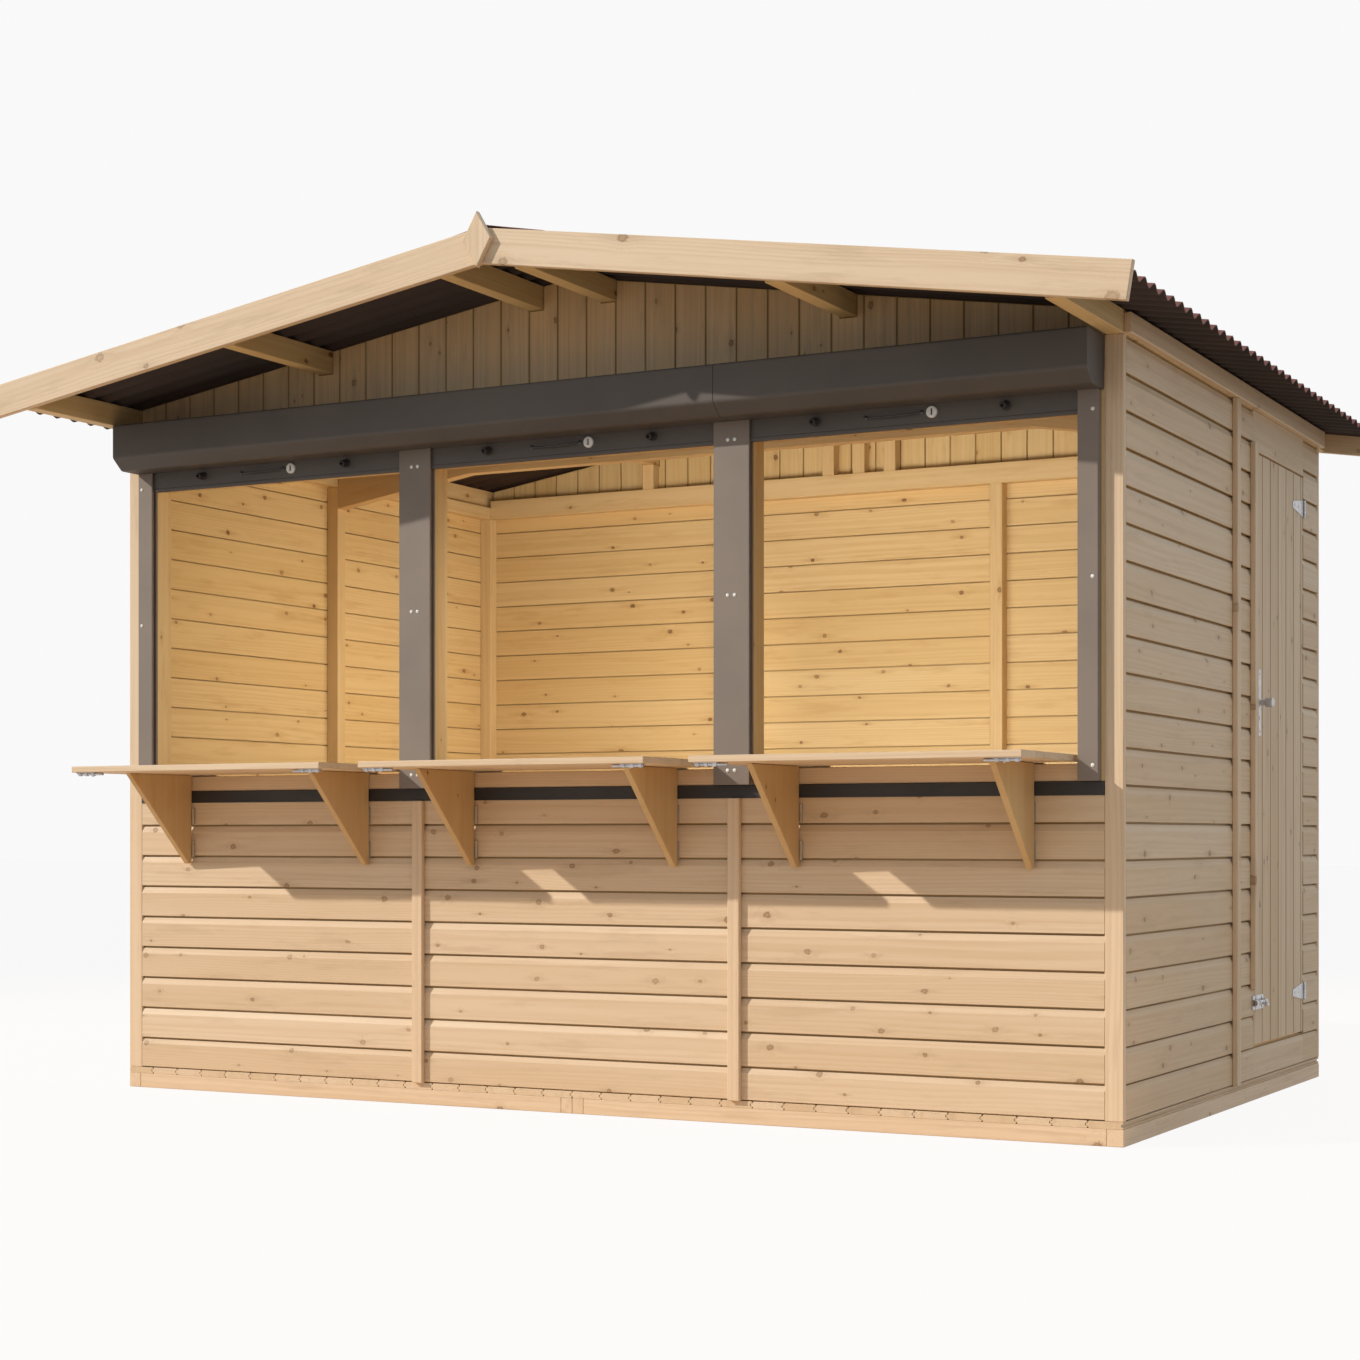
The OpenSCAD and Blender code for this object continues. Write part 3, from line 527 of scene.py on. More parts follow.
longSpans = [(-xCorner, -post), (-post, post), (post, xCorner)]
for name, axis, out, inner, spans, high in (("front", 0, yF, yInF, longSpans, frontTop),
                                            ("back", 0, yB, yInB, longSpans, wallTop),
                                            ("left", 1, -halfW, -xIn, [(yInF, 0), (0, yInB)], wallTop)):
    walls = newBatch()
    addCourses(walls, axis, out, inner, spans, high)
    finishPiece(name + "Boards", walls, wallFinishes, name + "_wall")
doorway = {"near": 0.214, "far": 0.816, "low": 0.157, "high": 1.920}
walls = newBatch()
addCourses(walls, 1, halfW, xIn, [(yInF, 0), (0, doorway["near"]), (doorway["far"], yInB)], wallTop)
addCourses(walls, 1, halfW, xIn, [(doorway["near"], doorway["far"])], doorway["low"])
addPlank(walls, (xIn, doorway["near"], doorway["high"]), (halfW, doorway["far"], wallTop), 1,
         finishOf=lambda c: 1 if abs(c.x - xIn) < 0.001 else 0)
finishPiece("rightBoards", walls, wallFinishes, "right_wall")
print("weatherboards laid")

# gables: upright matched boards, cut round the purlins
gable = {"board": 0.094, "vee": 0.0026, "play": 0.001, "frontLow": 1.950, "backLow": 2.037, "faceDeep": 0.0005}
notch = purlinHalf + gable["play"]


def gableTop(x):
    for p in purlinsX:
        if abs(abs(x) - p) < notch:
            return slopeZ(p) - purlinTall - gable["play"]
    return slopeZ(x)


def gableStrip(x0, x1, low):
    tiny = 1e-5
    cuts = [side * p + e * notch for p in purlinsX for side in (-1, 1) for e in (-1, 1)] + [0]
    edges = sorted([x0, x1] + [x for x in cuts if x0 < x < x1])
    top = []
    for a, b in zip(edges, edges[1:]):
        top += [(a, gableTop(a + tiny)), (b, gableTop(b - tiny))]
    points = [(x0, low), (x1, low)]
    for p in reversed(top):
        if (Vector(points[-1]) - Vector(p)).length > 2e-4:
            points.append(p)
    return points


gables = newBatch()
count = round(2 * xCorner / gable["board"])
wide = 2 * xCorner / count
for out, inner, low in ((yF, yInF, gable["frontLow"]), (yB, yInB, gable["backLow"])):
    finishOf = byDepth(1, out, inner, gable["faceDeep"], gable["faceDeep"])
    for i in range(count):
        x0 = -xCorner + i * wide
        addPrism(gables, gableStrip(x0 + hair, x0 + wide - hair, low), 1, min(out, inner), max(out, inner), 2,
                 gable["vee"], finishOf=finishOf)
finishPiece("gableBoards", gables, [gablePaintedLight, room, jointShade], "gables")

# corner boards, cover battens and eaves trims
trim = {"batten": 0.036, "proud": 0.016, "eavesTall": 0.052, "eavesThick": 0.020, "ease": 0.002, "stripLow": 0.330,
        "stripHigh": 1.938}
half, proud, ease = trim["batten"] / 2, trim["proud"], trim["ease"]
trims = newBatch()
for y0, y1 in ((yF, yInF), (yInB, yB)):
    addPlankPair(trims, (xCorner, y0, floorTop), (halfW, y1, wallTop), 2, ease=ease)
finishPiece("cornerBoards", trims, [planed], "corner_boards")
trims = newBatch()
addPlankPair(trims, (post - half, yF - proud, floorTop), (post + half, yF, frontTop), 2, ease=ease)
addPlankPair(trims, (post - half, yB, floorTop), (post + half, yB + proud, wallTop), 2, ease=ease)
addPlankPair(trims, (halfW, -half, floorTop), (halfW + proud, half, wallTop), 2, ease=ease)
addPlank(trims, (halfW, doorway["near"] - trim["batten"], trim["stripLow"]),
         (halfW + proud, doorway["near"], trim["stripHigh"]), 2, ease=ease)
finishPiece("coverBattens", trims, [planed], "cover_battens")
trims = newBatch()
addPlankPair(trims, (halfW, yF, wallTop), (halfW + trim["eavesThick"], yB, wallTop + trim["eavesTall"]), 1, ease=ease)
finishPiece("eavesTrims", trims, [planed], "eaves_trims")

# floor: frame on the ground and matched boards that show their ends at the front
floor = {"joistTall": 0.044, "joistWide": 0.044, "joists": 5, "boards": 34, "tongue": 0.006, "vee": 0.0026,
         "shoulder": 0.0045, "taper": 0.0025, "seam": 0.0010, "ease": 0.0006, "midRim": 0.036, "rimJoint": 0.12,
         "butt": 0.0004}
inside, joistTop, butt = halfW - floor["joistWide"], floor["joistTall"], floor["butt"]
timbersDown = newBatch()
for y0, y1 in ((yF, floor["rimJoint"] - butt), (floor["rimJoint"] + butt, yB)):
    addPlankPair(timbersDown, (inside, y0, 0), (halfW, y1, joistTop), 1)
addPlankPair(timbersDown, (butt, yF, 0), (floor["midRim"], yB, joistTop), 1)
pace = (yB - yF - floor["joistWide"]) / (floor["joists"] - 1)
for i in range(floor["joists"]):
    y0 = yF + i * pace
    addPlankPair(timbersDown, (floor["midRim"] + butt, y0, 0), (inside - butt, y0 + floor["joistWide"], joistTop), 0)
finishPiece("floorFrame", timbersDown, [planed], "floor_frame")
timbersDown = newBatch()
wide = 2 * halfW / floor["boards"]
v, taper, groove = floor["vee"], floor["taper"], floor["tongue"]
zA, zB = joistTop + floor["shoulder"], floorTop - floor["shoulder"]
for i in range(floor["boards"]):
    a, b = -halfW + i * wide + floor["seam"], -halfW + (i + 1) * wide - floor["seam"]
    tongue = floor["tongue"] if i else 0.0
    outline = [(a + v, joistTop), (b - v, joistTop), (b, joistTop + v), (b, zA), (b - groove, zA + taper),
               (b - groove, zB - taper), (b, zB), (b, floorTop - v), (b - v, floorTop), (a + v, floorTop),
               (a, floorTop - v), (a, zB), (a - tongue, zB - taper), (a - tongue, zA + taper), (a, zA),
               (a, joistTop + v)]
    addPrism(timbersDown, outline, 1, yF, yB, 1, floor["ease"])
finishPiece("floorPlanks", timbersDown, [flooring], "floor_boards")
print("floor laid")

# frame inside: studs, jambs, plates, header, sills and short gable studs
framework = {"studTop": 1.992, "jambBack": yInF + 0.045, "jambEase": 0.0012, "slimEase": 0.0008, "sillLow": 0.918,
             "sillTop": 0.962, "headerLow": 1.850, "headerTop": 1.950, "plateTop": 2.062}
studTop, jambBack, slim = framework["studTop"], framework["jambBack"], framework["slimEase"]
sillLow, headerLow, headerTop = framework["sillLow"], framework["headerLow"], framework["headerTop"]
frames = newBatch()
for y in (yInF, -stud / 2, yInB - stud):
    addPlankPair(frames, (xStud, y, floorTop), (xIn, y + stud, studTop), 2)
addPlankPair(frames, (post - stud / 2, yInB - stud, floorTop), (post + stud / 2, yInB, studTop), 2)
for y in (doorway["near"] - stud, doorway["far"]):
    addPlank(frames, (xStud, y, floorTop), (xIn, y + stud, studTop), 2)
finishPiece("wallStuds", frames, [framing], "wall_studs")
frames = newBatch()
jambProfile = [(yInF, floorTop), (jambBack, floorTop), (jambBack, headerLow), (yF, headerLow), (yF, sillLow),
               (yInF, sillLow)]
for x0, x1 in ((-xStud, -railIn), (-post - railW, -post), (-post, -post + railW),
               (post - railW, post), (post, post + railW), (railIn, xStud)):
    addPrism(frames, jambProfile, 0, x0, x1, 2, framework["jambEase"])
addPlankPair(frames, (xStud, yF, sillLow), (xCorner, yInF, headerLow), 2, ease=slim)
finishPiece("frontJambs", frames, [framing], "front_jambs")
frames = newBatch()
# the header takes the painted-shade timber on every face
addPlank(frames, (-xStud, yF, headerLow), (xStud, jambBack, headerTop), 0, finishOf=lambda c: 1)
addPlankPair(frames, (xStud, yF, headerLow), (xCorner, yInF, headerTop), 0, ease=slim)
addPlank(frames, (-xStud, yInB - stud, studTop), (xStud, yInB, framework["plateTop"]), 0)
addPlankPair(frames, (xStud, yInF, studTop), (xIn, yInB, wallTop), 1)
finishPiece("topPlates", frames, [framing, warmShade], "top_plates")
frames = newBatch()
for y, low in ((yInF, headerTop), (yInB - stud, framework["plateTop"])):
    for x in purlinsX[:2]:
        addPlankPair(frames, (x - stud / 2, y, low), (x + stud / 2, y + stud, slopeZ(x) - purlinTall - hair), 2)
    addPlank(frames, (-stud / 2, y, low), (stud / 2, y + stud, slopeZ(stud / 2)), 2)
finishPiece("gableStuds", frames, [framing], "gable_studs")
frames = newBatch()
reach = stall["openingHalf"]
for x in openingsX:
    addPlank(frames, (x - reach, yF, sillLow), (x + reach, jambBack, framework["sillTop"]), 0)
finishPiece("sillBoards", frames, [planed], "sill_boards")
print("frame raised")

# roof timbers
roof = {"bargeLow": -0.060, "bargeHigh": 0.034, "bargeRun": (1.6 + 0.168) / cosPitch, "bargeEase": 0.0018,
        "finialHalf": 0.044, "finialTall": 0.148, "finialThick": 0.018, "finialEase": 0.002, "purlinEase": 0.0015,
        "purlinEnd": 0.0008, "trussThick": 0.045, "trussDeep": 0.125, "tieLow": 2.000, "tieTall": 0.094}
timbersUp = newBatch()
for p in purlinsX:
    a, b, low, e = p - purlinHalf, p + purlinHalf, slopeZ(p) - purlinTall, roof["purlinEase"]
    outline = [(a + e, low), (b - e, low), (b, low + e), (b, slopeZ(b)), (a, slopeZ(a)), (a, low + e)]
    for side in (-1, 1):
        addPrism(timbersUp, [(side * x, z) for x, z in outline], 1, roofY0, roofY1, 1, roof["purlinEnd"])
finishPiece("roofPurlins", timbersUp, [framing], "purlins")
timbersUp = newBatch()
peak = ridgeZ - purlinTall - slope * purlinHalf
under, tieLow, tieTop = peak - roof["trussDeep"], roof["tieLow"], roof["tieLow"] + roof["tieTall"]
knee, inner = (under - tieLow) / slope, (under - tieLow - roof["tieTall"]) / slope
t = roof["trussThick"] / 2
rafter = [(hair, peak), (xStud, peak - slope * xStud), (xStud, under - slope * xStud), (hair, under)]
for side in (-1, 1):
    addPrism(timbersUp, [(side * x, z) for x, z in rafter], 1, -t, t, 0, tilt=side * pitch)
addPrism(timbersUp, [(-knee, tieLow), (knee, tieLow), (inner, tieTop), (-inner, tieTop)], 1, -t, t, 0)
finishPiece("roofTruss", timbersUp, [warmShade], "roof_truss")


def onSlope(side, run, rise):
    return side * (run * cosPitch + rise * sinPitch), ridgeZ - run * sinPitch + rise * cosPitch


timbersUp = newBatch()
low, high, run = roof["bargeLow"], roof["bargeHigh"], roof["bargeRun"]
corners = [(-low * slope + hair, low), (run, low), (run, high), (-high * slope + hair, high)]
for y in (yF - stall["frontOver"], yB + stall["rearOver"] - stall["barge"]):
    for side in (-1, 1):
        outline = [onSlope(side, *c) for c in corners]
        addPrism(timbersUp, outline, 1, y, y + stall["barge"], 0, roof["bargeEase"], side * pitch)
finishPiece("bargeBoards", timbersUp, [barging], "bargeboards")
timbersUp = newBatch()
h, w = roof["finialTall"] / 2, roof["finialHalf"]
diamond = [(0, ridgeZ - h), (w, ridgeZ), (0, ridgeZ + h), (-w, ridgeZ)]
for y in (yF - stall["frontOver"] - roof["finialThick"], yB + stall["rearOver"]):
    addPrism(timbersUp, diamond, 1, y, y + roof["finialThick"], 2, roof["finialEase"])
finishPiece("ridgeFinials", timbersUp, [plain], "finials")

# corrugated sheets with their screws, and the ridge cap
sheets = {"waves": 34, "points": 14, "tall": 0.020, "thick": 0.003, "ridgeGap": 0.015,
          "run": roof["bargeRun"] - 0.010, "screwEvery": 3, "screw": 0.007,
          "screwHead": [(-0.003, 1.3), (0.0008, 1.3), (0.0015, 1), (0.004, 0.75), (0.005, 0)]}
count = sheets["waves"] * sheets["points"]
begin, span = roofY0 + hair, roofY1 - roofY0 - 2 * hair
for side, name in ((-1, "left"), (1, "right")):
    sheet = newBatch()
    rows = []
    for run in (sheets["ridgeGap"], sheets["run"]):
        for thick in (0, sheets["thick"]):
            rows.append(list(range(len(sheet["points"]), len(sheet["points"]) + count + 1)))
            for i in range(count + 1):
                wave = (sheets["tall"] - sheets["thick"]) * (1 - math.cos(2 * math.pi * i / sheets["points"])) / 2
                x, z = onSlope(side, run, hair + wave + thick)
                sheet["points"].append(Vector((x, begin + span * i / count, z)))
    under0, over0, under1, over1 = rows
    for one, two in ((over0, over1), (under0, under1), (under0, over0), (under1, over1)):
        for i in range(count):
            # faces on the underside take the painted-shade coat
            addFace(sheet, [one[i], one[i + 1], two[i + 1], two[i]], 1 if two is under1 else 0, True)
    for i in (0, count):
        addFace(sheet, [under0[i], over0[i], over1[i], under1[i]], 0, True)
    fillPlain(sheet)
    for p in purlinsX:
        x, z = onSlope(side, p / cosPitch, hair + sheets["tall"])
        for k in range(1, sheets["waves"], sheets["screwEvery"]):
            y = begin + span * (k + 0.5) / sheets["waves"]
            addTurned(sheet, (x, y, z), (side * sinPitch, 0, cosPitch), sheets["screwHead"], 12, radius=sheets["screw"])
    finishPiece(name + "RoofSheet", sheet, [oxide, undersideShade], name + "_roof_sheet")
ridge = {"half": 0.235, "rise": 0.026, "rim": 0.0033, "bends": ((0.82, 0.62), (0.78, 0.72)), "ease": 0.0006,
         "roll": 0.03, "rollFall": 0.16, "rollDip": 0.0018, "rollSteps": 4}
crest = ridgeZ + (sheets["tall"] + hair) / cosPitch
half, rise = ridge["half"], ridge["rise"]
upper = [(half, crest - slope * half + ridge["rim"])]
upper += [(half * part, crest - slope * half * part + rise * lift) for part, lift in ridge["bends"]]
for k in range(ridge["rollSteps"] + 1):
    part = 1 - k / ridge["rollSteps"]
    x = ridge["roll"] * part
    upper.append((x, crest + rise - ridge["rollFall"] * x - ridge["rollDip"] * part))
upper += [(-x, z) for x, z in reversed(upper[:-1])]
lower = [(x, z - sheets["thick"]) for x, z in reversed(upper)]
cap = newBatch()
addPrism(cap, upper + lower, 1, roofY0 + hair, roofY1 - hair, 1, ridge["ease"])
finishPiece("ridgeCap", cap, [oxide], "ridge_cap")
print("roof on")

# shutter box in two lengths
shutter = {"low": 1.900, "tall": 0.136, "deep": 0.136, "slantDeep": 0.040, "slantTall": 0.035, "seam": 0.0004,
           "round": 0.006, "ease": 0.0008, "slatLow": 1.840, "slatY": yF - 0.0135, "slatThick": 0.009,
           "slatEase": 0.0006, "slatFoot": (0.003, 0.004), "slatBevel": 0.002, "slatStep": 0.001,
           "slatStepUp": (0.010, 0.012), "reach": 0.475}
boxLow, boxFront, boxTop = shutter["low"], yF - shutter["deep"], shutter["low"] + shutter["tall"]
boxProfile = easedOutline([(yF, boxLow), (boxFront + shutter["slantDeep"], boxLow),
                           (boxFront, boxLow + shutter["slantTall"]), (boxFront, boxTop), (yF, boxTop)],
                          shutter["round"])
housing = newBatch()
for x0, x1 in ((-xCorner, post), (post, xCorner)):
    addPrism(housing, boxProfile, 0, x0 + shutter["seam"], x1 - shutter["seam"], 0, shutter["ease"])
finishPiece("shutterBox", housing, [boxShade], "shutter_box")

# guide rails with slots and rivets
rail = {"deep": 0.027, "slot": 0.013, "slotDeep": 0.030, "ease": 0.0012, "end": 0.0008,
        "rivetZ": (1.850, 1.430, 0.957), "rivet": 0.0052,
        "rivetHead": [(-0.0005, 1), (0.0006, 1), (0.0018, 0.8), (0.0026, 0.4), (0.0028, 0)], "inset": 0.0105,
        "outer": 1.528}
rails = newBatch()
y0, e, deep = yF - rail["deep"], rail["ease"], rail["slotDeep"]
c0, c1 = (y0 + yF) / 2 - rail["slot"] / 2, (y0 + yF) / 2 + rail["slot"] / 2
slotSide = [(e, y0), (0, y0 + e), (0, c0), (deep, c0), (deep, c1), (0, c1), (0, yF)]
plainSide = [(railW, yF), (railW, y0 + e), (railW - e, y0)]
doubled = slotSide + [(2 * railW - u, v) for u, v in reversed(slotSide)]
for side in (-1, 1):
    single = [(side * (railIn + u), v) for u, v in slotSide + plainSide]
    addPrism(rails, single, 2, sillLow, boxLow, 2, rail["end"])
    addPrism(rails, [(side * post - railW + u, v) for u, v in doubled], 2, sillLow, boxLow, 2, rail["end"])
for side in (-1, 1):
    for x in (side * rail["outer"], side * post - rail["inset"], side * post + rail["inset"]):
        for z in rail["rivetZ"]:
            addTurned(rails, (x, y0, z), (0, -1, 0), rail["rivetHead"], 16, 1, rail["rivet"])
finishPiece("guideRails", rails, [slate, enamel], "guide_rails")

# end slats with stops, locks and pulls
slats = newBatch()
half, z0 = shutter["slatThick"] / 2, shutter["slatLow"]
face, rear = shutter["slatY"] - half, shutter["slatY"] + half
bevel, step = shutter["slatBevel"], face + shutter["slatStep"]
footFront, footRear = (z0 + up for up in shutter["slatFoot"])
stepLow, stepHigh = (z0 + up for up in shutter["slatStepUp"])
slatProfile = [(face, footFront), (face + bevel, z0), (rear - bevel, z0), (rear, footRear), (rear, boxLow),
               (step, boxLow), (step, stepHigh), (face, stepLow)]
for x in openingsX:
    addPrism(slats, slatProfile, 0, x - shutter["reach"], x + shutter["reach"], 0, shutter["slatEase"])
finishPiece("endSlats", slats, [boxShade], "end_slats")
fitting = {"z": 1.8784, "stopX": 0.2668, "stopR": 0.0128, "stopLong": 0.027, "stopDroop": -0.12, "lockX": 0.0644,
           "lockR": 0.0155, "lockLong": 0.005, "slotHalf": 0.0016, "slotTall": 0.0085, "slotEase": 0.0004,
           "slotOut": 0.0004, "slotIn": 0.0016, "pullFrom": -0.122, "pullTo": 0.036, "pullOut": 0.013,
           "pullDrop": 0.004, "pullR": 0.0022, "pullSteps": 16, "pullSharp": 0.6, "pullSink": 0.001, "pullRise": 0.002,
           "pullFoot": [(-0.001, 0.006), (0.001, 0.006), (0.0025, 0.004), (0.003, 0)]}
n = fitting["stopLong"]
stopProfile = [(-0.002, 1), (0.003, 1), (0.004, 0.82), (n * 0.7, 0.74), (n - 0.0015, 0.72), (n, 0.62), (n, 0.42),
               (n - 0.008, 0.38), (n - 0.008, 0)]
stops = newBatch()
for x in openingsX:
    for side in (-1, 1):
        spot = (x + side * fitting["stopX"], face, fitting["z"])
        addTurned(stops, spot, (0, -1, fitting["stopDroop"]), stopProfile, 24, radius=fitting["stopR"])
finishPiece("shutterStops", stops, [rubber], "shutter_stops")
n, w, h = fitting["lockLong"], fitting["slotHalf"], fitting["slotTall"]
lockProfile = [(-0.001, 1), (n * 0.6, 1), (n * 0.9, 0.93), (n, 0.8), (n, 0.55), (n - 0.001, 0.52), (n - 0.001, 0)]
locks = newBatch()
for x in openingsX:
    spot = Vector((x + fitting["lockX"], face, fitting["z"]))
    addTurned(locks, spot, (0, -1, 0), lockProfile, 32, radius=fitting["lockR"])
    addPlank(locks, spot + Vector((-w, -n - fitting["slotOut"], -h)), spot + Vector((w, -n + fitting["slotIn"], h)), 2,
             ease=fitting["slotEase"], finishOf=lambda c: 1)
finishPiece("shutterLocks", locks, [enamel, rubber], "shutter_locks")
pulls = newBatch()
for x in openingsX:
    path = []
    for k in range(fitting["pullSteps"] + 1):
        f = k / fitting["pullSteps"]
        bow = math.sin(math.pi * f) ** fitting["pullSharp"]
        path.append((x + fitting["pullFrom"] + (fitting["pullTo"] - fitting["pullFrom"]) * f,
                     face + fitting["pullSink"] - fitting["pullOut"] * bow,
                     fitting["z"] - fitting["pullRise"] / 2 + fitting["pullRise"] * f - fitting["pullDrop"] * bow))
    addTube(pulls, path, fitting["pullR"])
    for end in (path[0], path[-1]):
        addTurned(pulls, (end[0], face, end[2]), (0, -1, 0), fitting["pullFoot"], 14)
finishPiece("shutterPulls", pulls, [steel])
print("shutters hung")

# flashing: a folded strip with a small lip
flashing = {"low": 0.882, "high": 0.918, "proud": 0.003, "fold": 0.001, "lip": (0.002, 0.0015), "ease": 0.0005}
strip = newBatch()
a, b, low, high = yF - flashing["proud"], yInF, flashing["low"], flashing["high"]
fold, (lipDeep, lipTall) = flashing["fold"], flashing["lip"]
outline = [(a, low + fold), (a + fold, low), (b, low), (b, high), (a + lipDeep, high), (a, high - lipTall)]
addPrism(strip, outline, 0, -xCorner, xCorner, 0, flashing["ease"])
finishPiece("sillFlashing", strip, [flashingShade], "sill_flashing")

# counters: glued boards with barrel bolts under the front corners
counter = {"low": 0.967, "top": 0.985, "front": yF - 0.400, "back": yF + 0.0105, "half": 0.4485, "boards": 4,
           "seam": 0.00015, "frontEase": 0.002, "ease": 0.0004, "edgeDeep": 0.003}
barrelBolt = {"inset": 0.008, "long": 0.070, "wide": 0.024, "thick": 0.002, "corner": 0.004, "rod": 0.0045,
              "rodAt": (0.002, 0.03, 0.06, 0.095), "rodShare": 0.9, "skin": 0.0016, "strapAt": (0.010, 0.034, 0.060),
              "strapHalf": 0.0045, "strapShare": 0.62, "strapDeep": (0.0022, 0.0034), "strapSteps": 10,
              "strapEase": 0.0003, "knobAt": 0.047, "knobWay": (0, 1, -0.35),
              "knob": [(0, 0.0024), (0.008, 0.0024), (0.0095, 0.0036), (0.013, 0.004), (0.015, 0.0028), (0.0155, 0)],
              "screwAt": (0.005, 0.065), "screwAside": 0.0085, "screw": 0.0022}
low, top, v = counter["low"], counter["top"], counter["ease"]
deep = (counter["back"] - counter["front"]) / counter["boards"]
rod, w, skin = barrelBolt["rod"], barrelBolt["wide"] / 2, barrelBolt["rod"] + barrelBolt["skin"]
rodZ, plateZ, boltY = low - (rod + hair), low - barrelBolt["thick"], counter["front"] + barrelBolt["inset"] + w
bent = strapOutline(w * barrelBolt["strapShare"], *barrelBolt["strapDeep"], rod + hair, skin, barrelBolt["strapSteps"])
strap = [(boltY + a, low - o) for a, o in bent]
for side, x in openings:
    panel = newBatch()
    for i in range(counter["boards"]):
        y0 = counter["front"] + i * deep
        y1 = y0 + deep
        front, back = v if i else counter["frontEase"], y1 - counter["seam"]
        outline = [(y0 + front, low), (y1 - v, low), (back, low + v), (back, top - v), (y1 - v, top), (y0 + front, top),
                   (y0, top - front), (y0, low + front)]
        addPrism(panel, outline, 0, x - counter["half"], x + counter["half"], 0,
                 finishOf=lambda c: 1 if c.y - counter["front"] < counter["edgeDeep"] else 0)
    finishPiece(side + "CounterTop", panel, [planed, plain], side + "_counter", side + "_counter")
    bolts = newBatch()
    for end in (-1, 1):
        ex = x + end * (counter["half"] - barrelBolt["inset"])
        x0, x1 = sorted((ex, ex - end * barrelBolt["long"]))
        addPrism(bolts, roundedRect(x0, x1, boltY - w, boltY + w, barrelBolt["corner"]), 2, plateZ, low, 2, v)
        path = [(ex - end * f, boltY, rodZ) for f in barrelBolt["rodAt"]]
        addTube(bolts, path, rod * barrelBolt["rodShare"], 14)
        for f in barrelBolt["strapAt"]:  # straps round the rod
            x0, x1 = ex - end * (f + barrelBolt["strapHalf"]), ex - end * (f - barrelBolt["strapHalf"])
            addPrism(bolts, strap, 0, x0, x1, 0, barrelBolt["strapEase"])
        spot = (ex - end * barrelBolt["knobAt"], boltY, rodZ)
        addTurned(bolts, spot, barrelBolt["knobWay"], barrelBolt["knob"], 14)
        for f in barrelBolt["screwAt"]:
            for q in (-barrelBolt["screwAside"], barrelBolt["screwAside"]):
                addScrew(bolts, (ex - end * f, boltY + q, plateZ), (0, 0, -1), barrelBolt["screw"])
    finishPiece(side + "CounterBolts", bolts, [zinc], side + "_counter_bolts", side + "_counter")

# swing brackets and their hinges
bracket = {"x": 0.330, "thick": 0.018, "front": -0.290, "back": -0.006, "top": 0.966, "low": 0.696, "tip": 0.014,
           "ease": 0.0018, "pin": 0.316, "hingeZ": ((0.716, 0.766), (0.816, 0.866)), "leaf": 0.026,
           "leafThick": 0.002, "leafCorner": 0.003, "plateThick": 0.0015, "plateIn": 0.0005, "plateCorner": 0.002,
           "plateEase": 0.0003, "barrel": 0.0045, "barrelEase": 0.0005, "screw": 0.003, "screwAt": (0.25, 0.75),
           "screwIn": 0.010}
edge, t, thin = yF + bracket["back"], bracket["thick"] / 2, bracket["plateEase"]
outline = [(edge, bracket["top"]), (yF + bracket["front"], bracket["top"]), (edge - bracket["tip"], bracket["low"]),
           (edge, bracket["low"])]
plateY, leafY = edge + bracket["plateThick"], yF - bracket["leafThick"]
fixed = newBatch()
for name, x in openings:
    for side, letter in ((-1, "a"), (1, "b")):
        board = newBatch()
        at, pin = x + side * bracket["x"], x + side * bracket["pin"]
        far = pin + side * bracket["leaf"]
        addPrism(board, outline, 0, at - t, at + t, 2, bracket["ease"])
        for z0, z1 in bracket["hingeZ"]:  # the leaf on the back edge turns with the board
            screwZ = [z0 + (z1 - z0) * f for f in bracket["screwAt"]]
            x0, x1 = at - t + bracket["plateIn"], at + t - bracket["plateIn"]
            plate = roundedRect(x0, x1, z0, z1, bracket["plateCorner"])
            addPrism(board, plate, 1, edge, plateY, 1, thin, finishOf=lambda c: 1)
            for z in screwZ:
                addScrew(board, (at, plateY, z), (0, 1, 0), bracket["screw"], 1)
            leafOutline = roundedRect(min(pin, far), max(pin, far), z0, z1, bracket["leafCorner"])
            addPrism(fixed, leafOutline, 1, leafY, yF, 1, thin)
            addBarrel(fixed, pin, edge, z0, z1, bracket["barrel"], bracket["barrelEase"], 16)
            for z in screwZ:
                addScrew(fixed, (far - side * bracket["screwIn"], leafY, z), (0, -1, 0), bracket["screw"])
        body = name + "_bracket_" + letter
        finishPiece(name + "Bracket" + letter.upper(), board, [warmShade, dullZinc], body, body)
finishPiece("bracketHinges", fixed, [dullZinc], "bracket_hinges")
print("counters and brackets hung")

# door: upright matched boards with ledges behind
door = {"near": 0.220, "far": 0.810, "low": 0.163, "high": 1.914, "board": 0.094, "vee": 0.0036, "faceDeep": 0.0005,
        "rim": 0.0025, "ledges": ((0.333, 0.423), (1.654, 1.744)), "edge": 0.040, "ledge": 0.020, "ledgeEase": 0.004}


# groove faces of the door boards take the painted-shade finish
def doorFinish(c):
    if abs(c.x - xIn) < door["faceDeep"]:
        return 1
    rim = min(c.y - door["near"], door["far"] - c.y, c.z - door["low"], door["high"] - c.z) < door["rim"]
    return 0 if rim or abs(c.x - halfW) < door["faceDeep"] else 2


